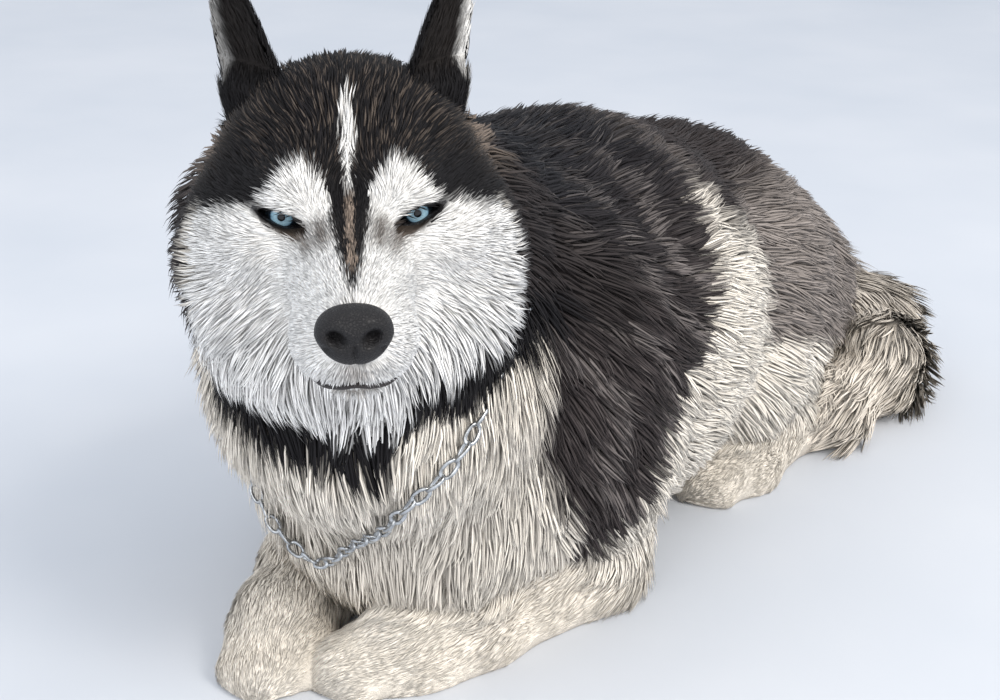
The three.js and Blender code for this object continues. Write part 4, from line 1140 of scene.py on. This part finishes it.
def steel_finish():
    made = Finish("steel", Metallic=1.0)
    at = made.node("TexCoord", out=3)
    wear = made.node("TexNoise", None, 0, Vector=at, Scale=260.0, Detail=5.0)
    steel_stops = [(0.25, (0.20, 0.20, 0.20)), (0.6, (0.58, 0.60, 0.62))]
    made.feed("Base Color", made.node("ValToRGB", dict(stops=steel_stops), Fac=wear))
    made.feed("Roughness", wear * 0.35 + 0.12)
    made.feed("Normal", made.bump(wear, 0.15, 0.0003))
    return made.material


steel = steel_finish()
tree = bpy.data.node_groups.new("chain_links", "GeometryNodeTree")
sockets = {}
for name, way, kind in (("Geometry", "INPUT", "Geometry"), ("Geometry", "OUTPUT", "Geometry"),
                        ("Links", "INPUT", "Int"), ("Roll", "INPUT", "Float"),
                        ("Link", "INPUT", "Object"), ("Steel", "INPUT", "Material")):
    sockets[name] = tree.interface.new_socket(name, in_out=way, socket_type="NodeSocket" + kind)
kinds = {
    "inlet": "NodeGroupInput", "outlet": "NodeGroupOutput", "points": "GeometryNodeCurveToPoints",
    "info": "GeometryNodeObjectInfo", "place": "GeometryNodeInstanceOnPoints",
    "align": "FunctionNodeAlignRotationToVector", "spin": "FunctionNodeRotateRotation",
    "index": "GeometryNodeInputIndex", "odd": "ShaderNodeMath", "swing": "ShaderNodeMath",
    "half": "ShaderNodeMath", "axes": "ShaderNodeCombineXYZ", "turned": "FunctionNodeEulerToRotation",
    "realize": "GeometryNodeRealizeInstances", "finish": "GeometryNodeSetMaterial",
}
nodes = {name: tree.nodes.new(kind) for name, kind in kinds.items()}
nodes["points"].mode = "COUNT"
nodes["spin"].rotation_space = "LOCAL"
nodes["align"].axis = "X"
nodes["odd"].operation = "MODULO"
nodes["odd"].inputs[1].default_value = 2
nodes["swing"].operation = "MULTIPLY_ADD"
nodes["half"].operation = "MULTIPLY"
nodes["half"].inputs[1].default_value = -0.5
for start, out, end, into in (
        ("inlet", "Geometry", "points", "Curve"), ("inlet", "Links", "points", "Count"),
        ("inlet", "Link", "info", "Object"), ("points", "Points", "place", "Points"),
        ("info", "Geometry", "place", "Instance"), ("points", "Rotation", "align", "Rotation"),
        ("points", "Tangent", "align", "Vector"), ("index", 0, "odd", 0), ("odd", 0, "swing", 0),
        ("inlet", "Roll", "swing", 1), ("inlet", "Roll", "half", 0), ("half", 0, "swing", 2),
        ("swing", 0, "axes", 0), ("axes", 0, "turned", 0), ("align", 0, "spin", "Rotation"),
        ("turned", 0, "spin", "Rotate By"), ("spin", 0, "place", "Rotation"), ("place", 0, "realize", 0),
        ("realize", 0, "finish", "Geometry"), ("inlet", "Steel", "finish", "Material"),
        ("finish", 0, "outlet", 0)):
    tree.links.new(nodes[start].outputs[out], nodes[end].inputs[into])
grown = chain.modifiers.new("links", "NODES")
grown.node_group = tree
for name, value in (("Links", link_count), ("Roll", math.radians(90)), ("Link", link), ("Steel", steel)):
    grown[sockets[name].identifier] = value
bpy.context.view_layer.update()
solved = chain.evaluated_get(bpy.context.evaluated_depsgraph_get())
chain_mesh = bpy.data.meshes.new_from_object(solved)
chain_piece = bpy.data.objects.new("chain_links", chain_mesh)
bpy.context.scene.collection.objects.link(chain_piece)
for spare in (chain, link):
    bpy.data.objects.remove(spare)
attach(chain_piece, "root")
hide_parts("chain_collar")

# Floor and light
# A plain pale floor that runs out of the frame, a broad key light on the dog's left,
# a fill from its right, and a pale even sky.
floor = mesh_of("floor", np.array([[-6000, -6000, 0], [6000, -6000, 0], [6000, 9000, 0], [-6000, 9000, 0]]),
                [(0, 1, 2, 3)])
paper = Finish("floor", Roughness=0.9, Specular_IOR_Level=0.1)
at = paper.node("TexCoord", out=3)
mottle = paper.node("TexNoise", None, 0, Vector=at, Scale=3.0, Detail=3.0)
paper_stops = [(0.3, (0.60, 0.63, 0.68)), (0.7, (0.66, 0.68, 0.72))]
paper.feed("Base Color", paper.node("ValToRGB", dict(stops=paper_stops), Fac=mottle))
floor.data.materials.append(paper.material)


def area_light(name, place, aim, power, size, colour):
    data = bpy.data.lights.new(name, "AREA")
    data.energy = power
    data.size = size
    data.color = colour
    made = bpy.data.objects.new(name, data)
    made.location = place
    way = np.array(aim, float) - np.array(place, float)
    yaw = math.atan2(-way[0], way[1])
    made.rotation_euler = (math.atan2(math.hypot(way[0], way[1]), -way[2]), 0, yaw)
    bpy.context.scene.collection.objects.link(made)


area_light("key", (2.2, -0.6, 2.2), (0, 0, 0.15), 55, 1.1, (1.0, 0.96, 0.9))
area_light("fill", (-1.8, -1.8, 1.6), (0, -0.1, 0.2), 10, 2.2, (0.86, 0.92, 1.0))
area_light("front", (0.9, -2.2, 1.1), (0.05, -0.2, 0.25), 16, 1.6, (1.0, 0.98, 0.95))
sky = bpy.data.worlds.new("sky")
sky.use_nodes = True
sky.node_tree.nodes["Background"].inputs[0].default_value = (0.90, 0.94, 1.0, 1)
sky.node_tree.nodes["Background"].inputs[1].default_value = 1.0
bpy.context.scene.world = sky
bpy.context.scene.view_settings.view_transform = "Standard"
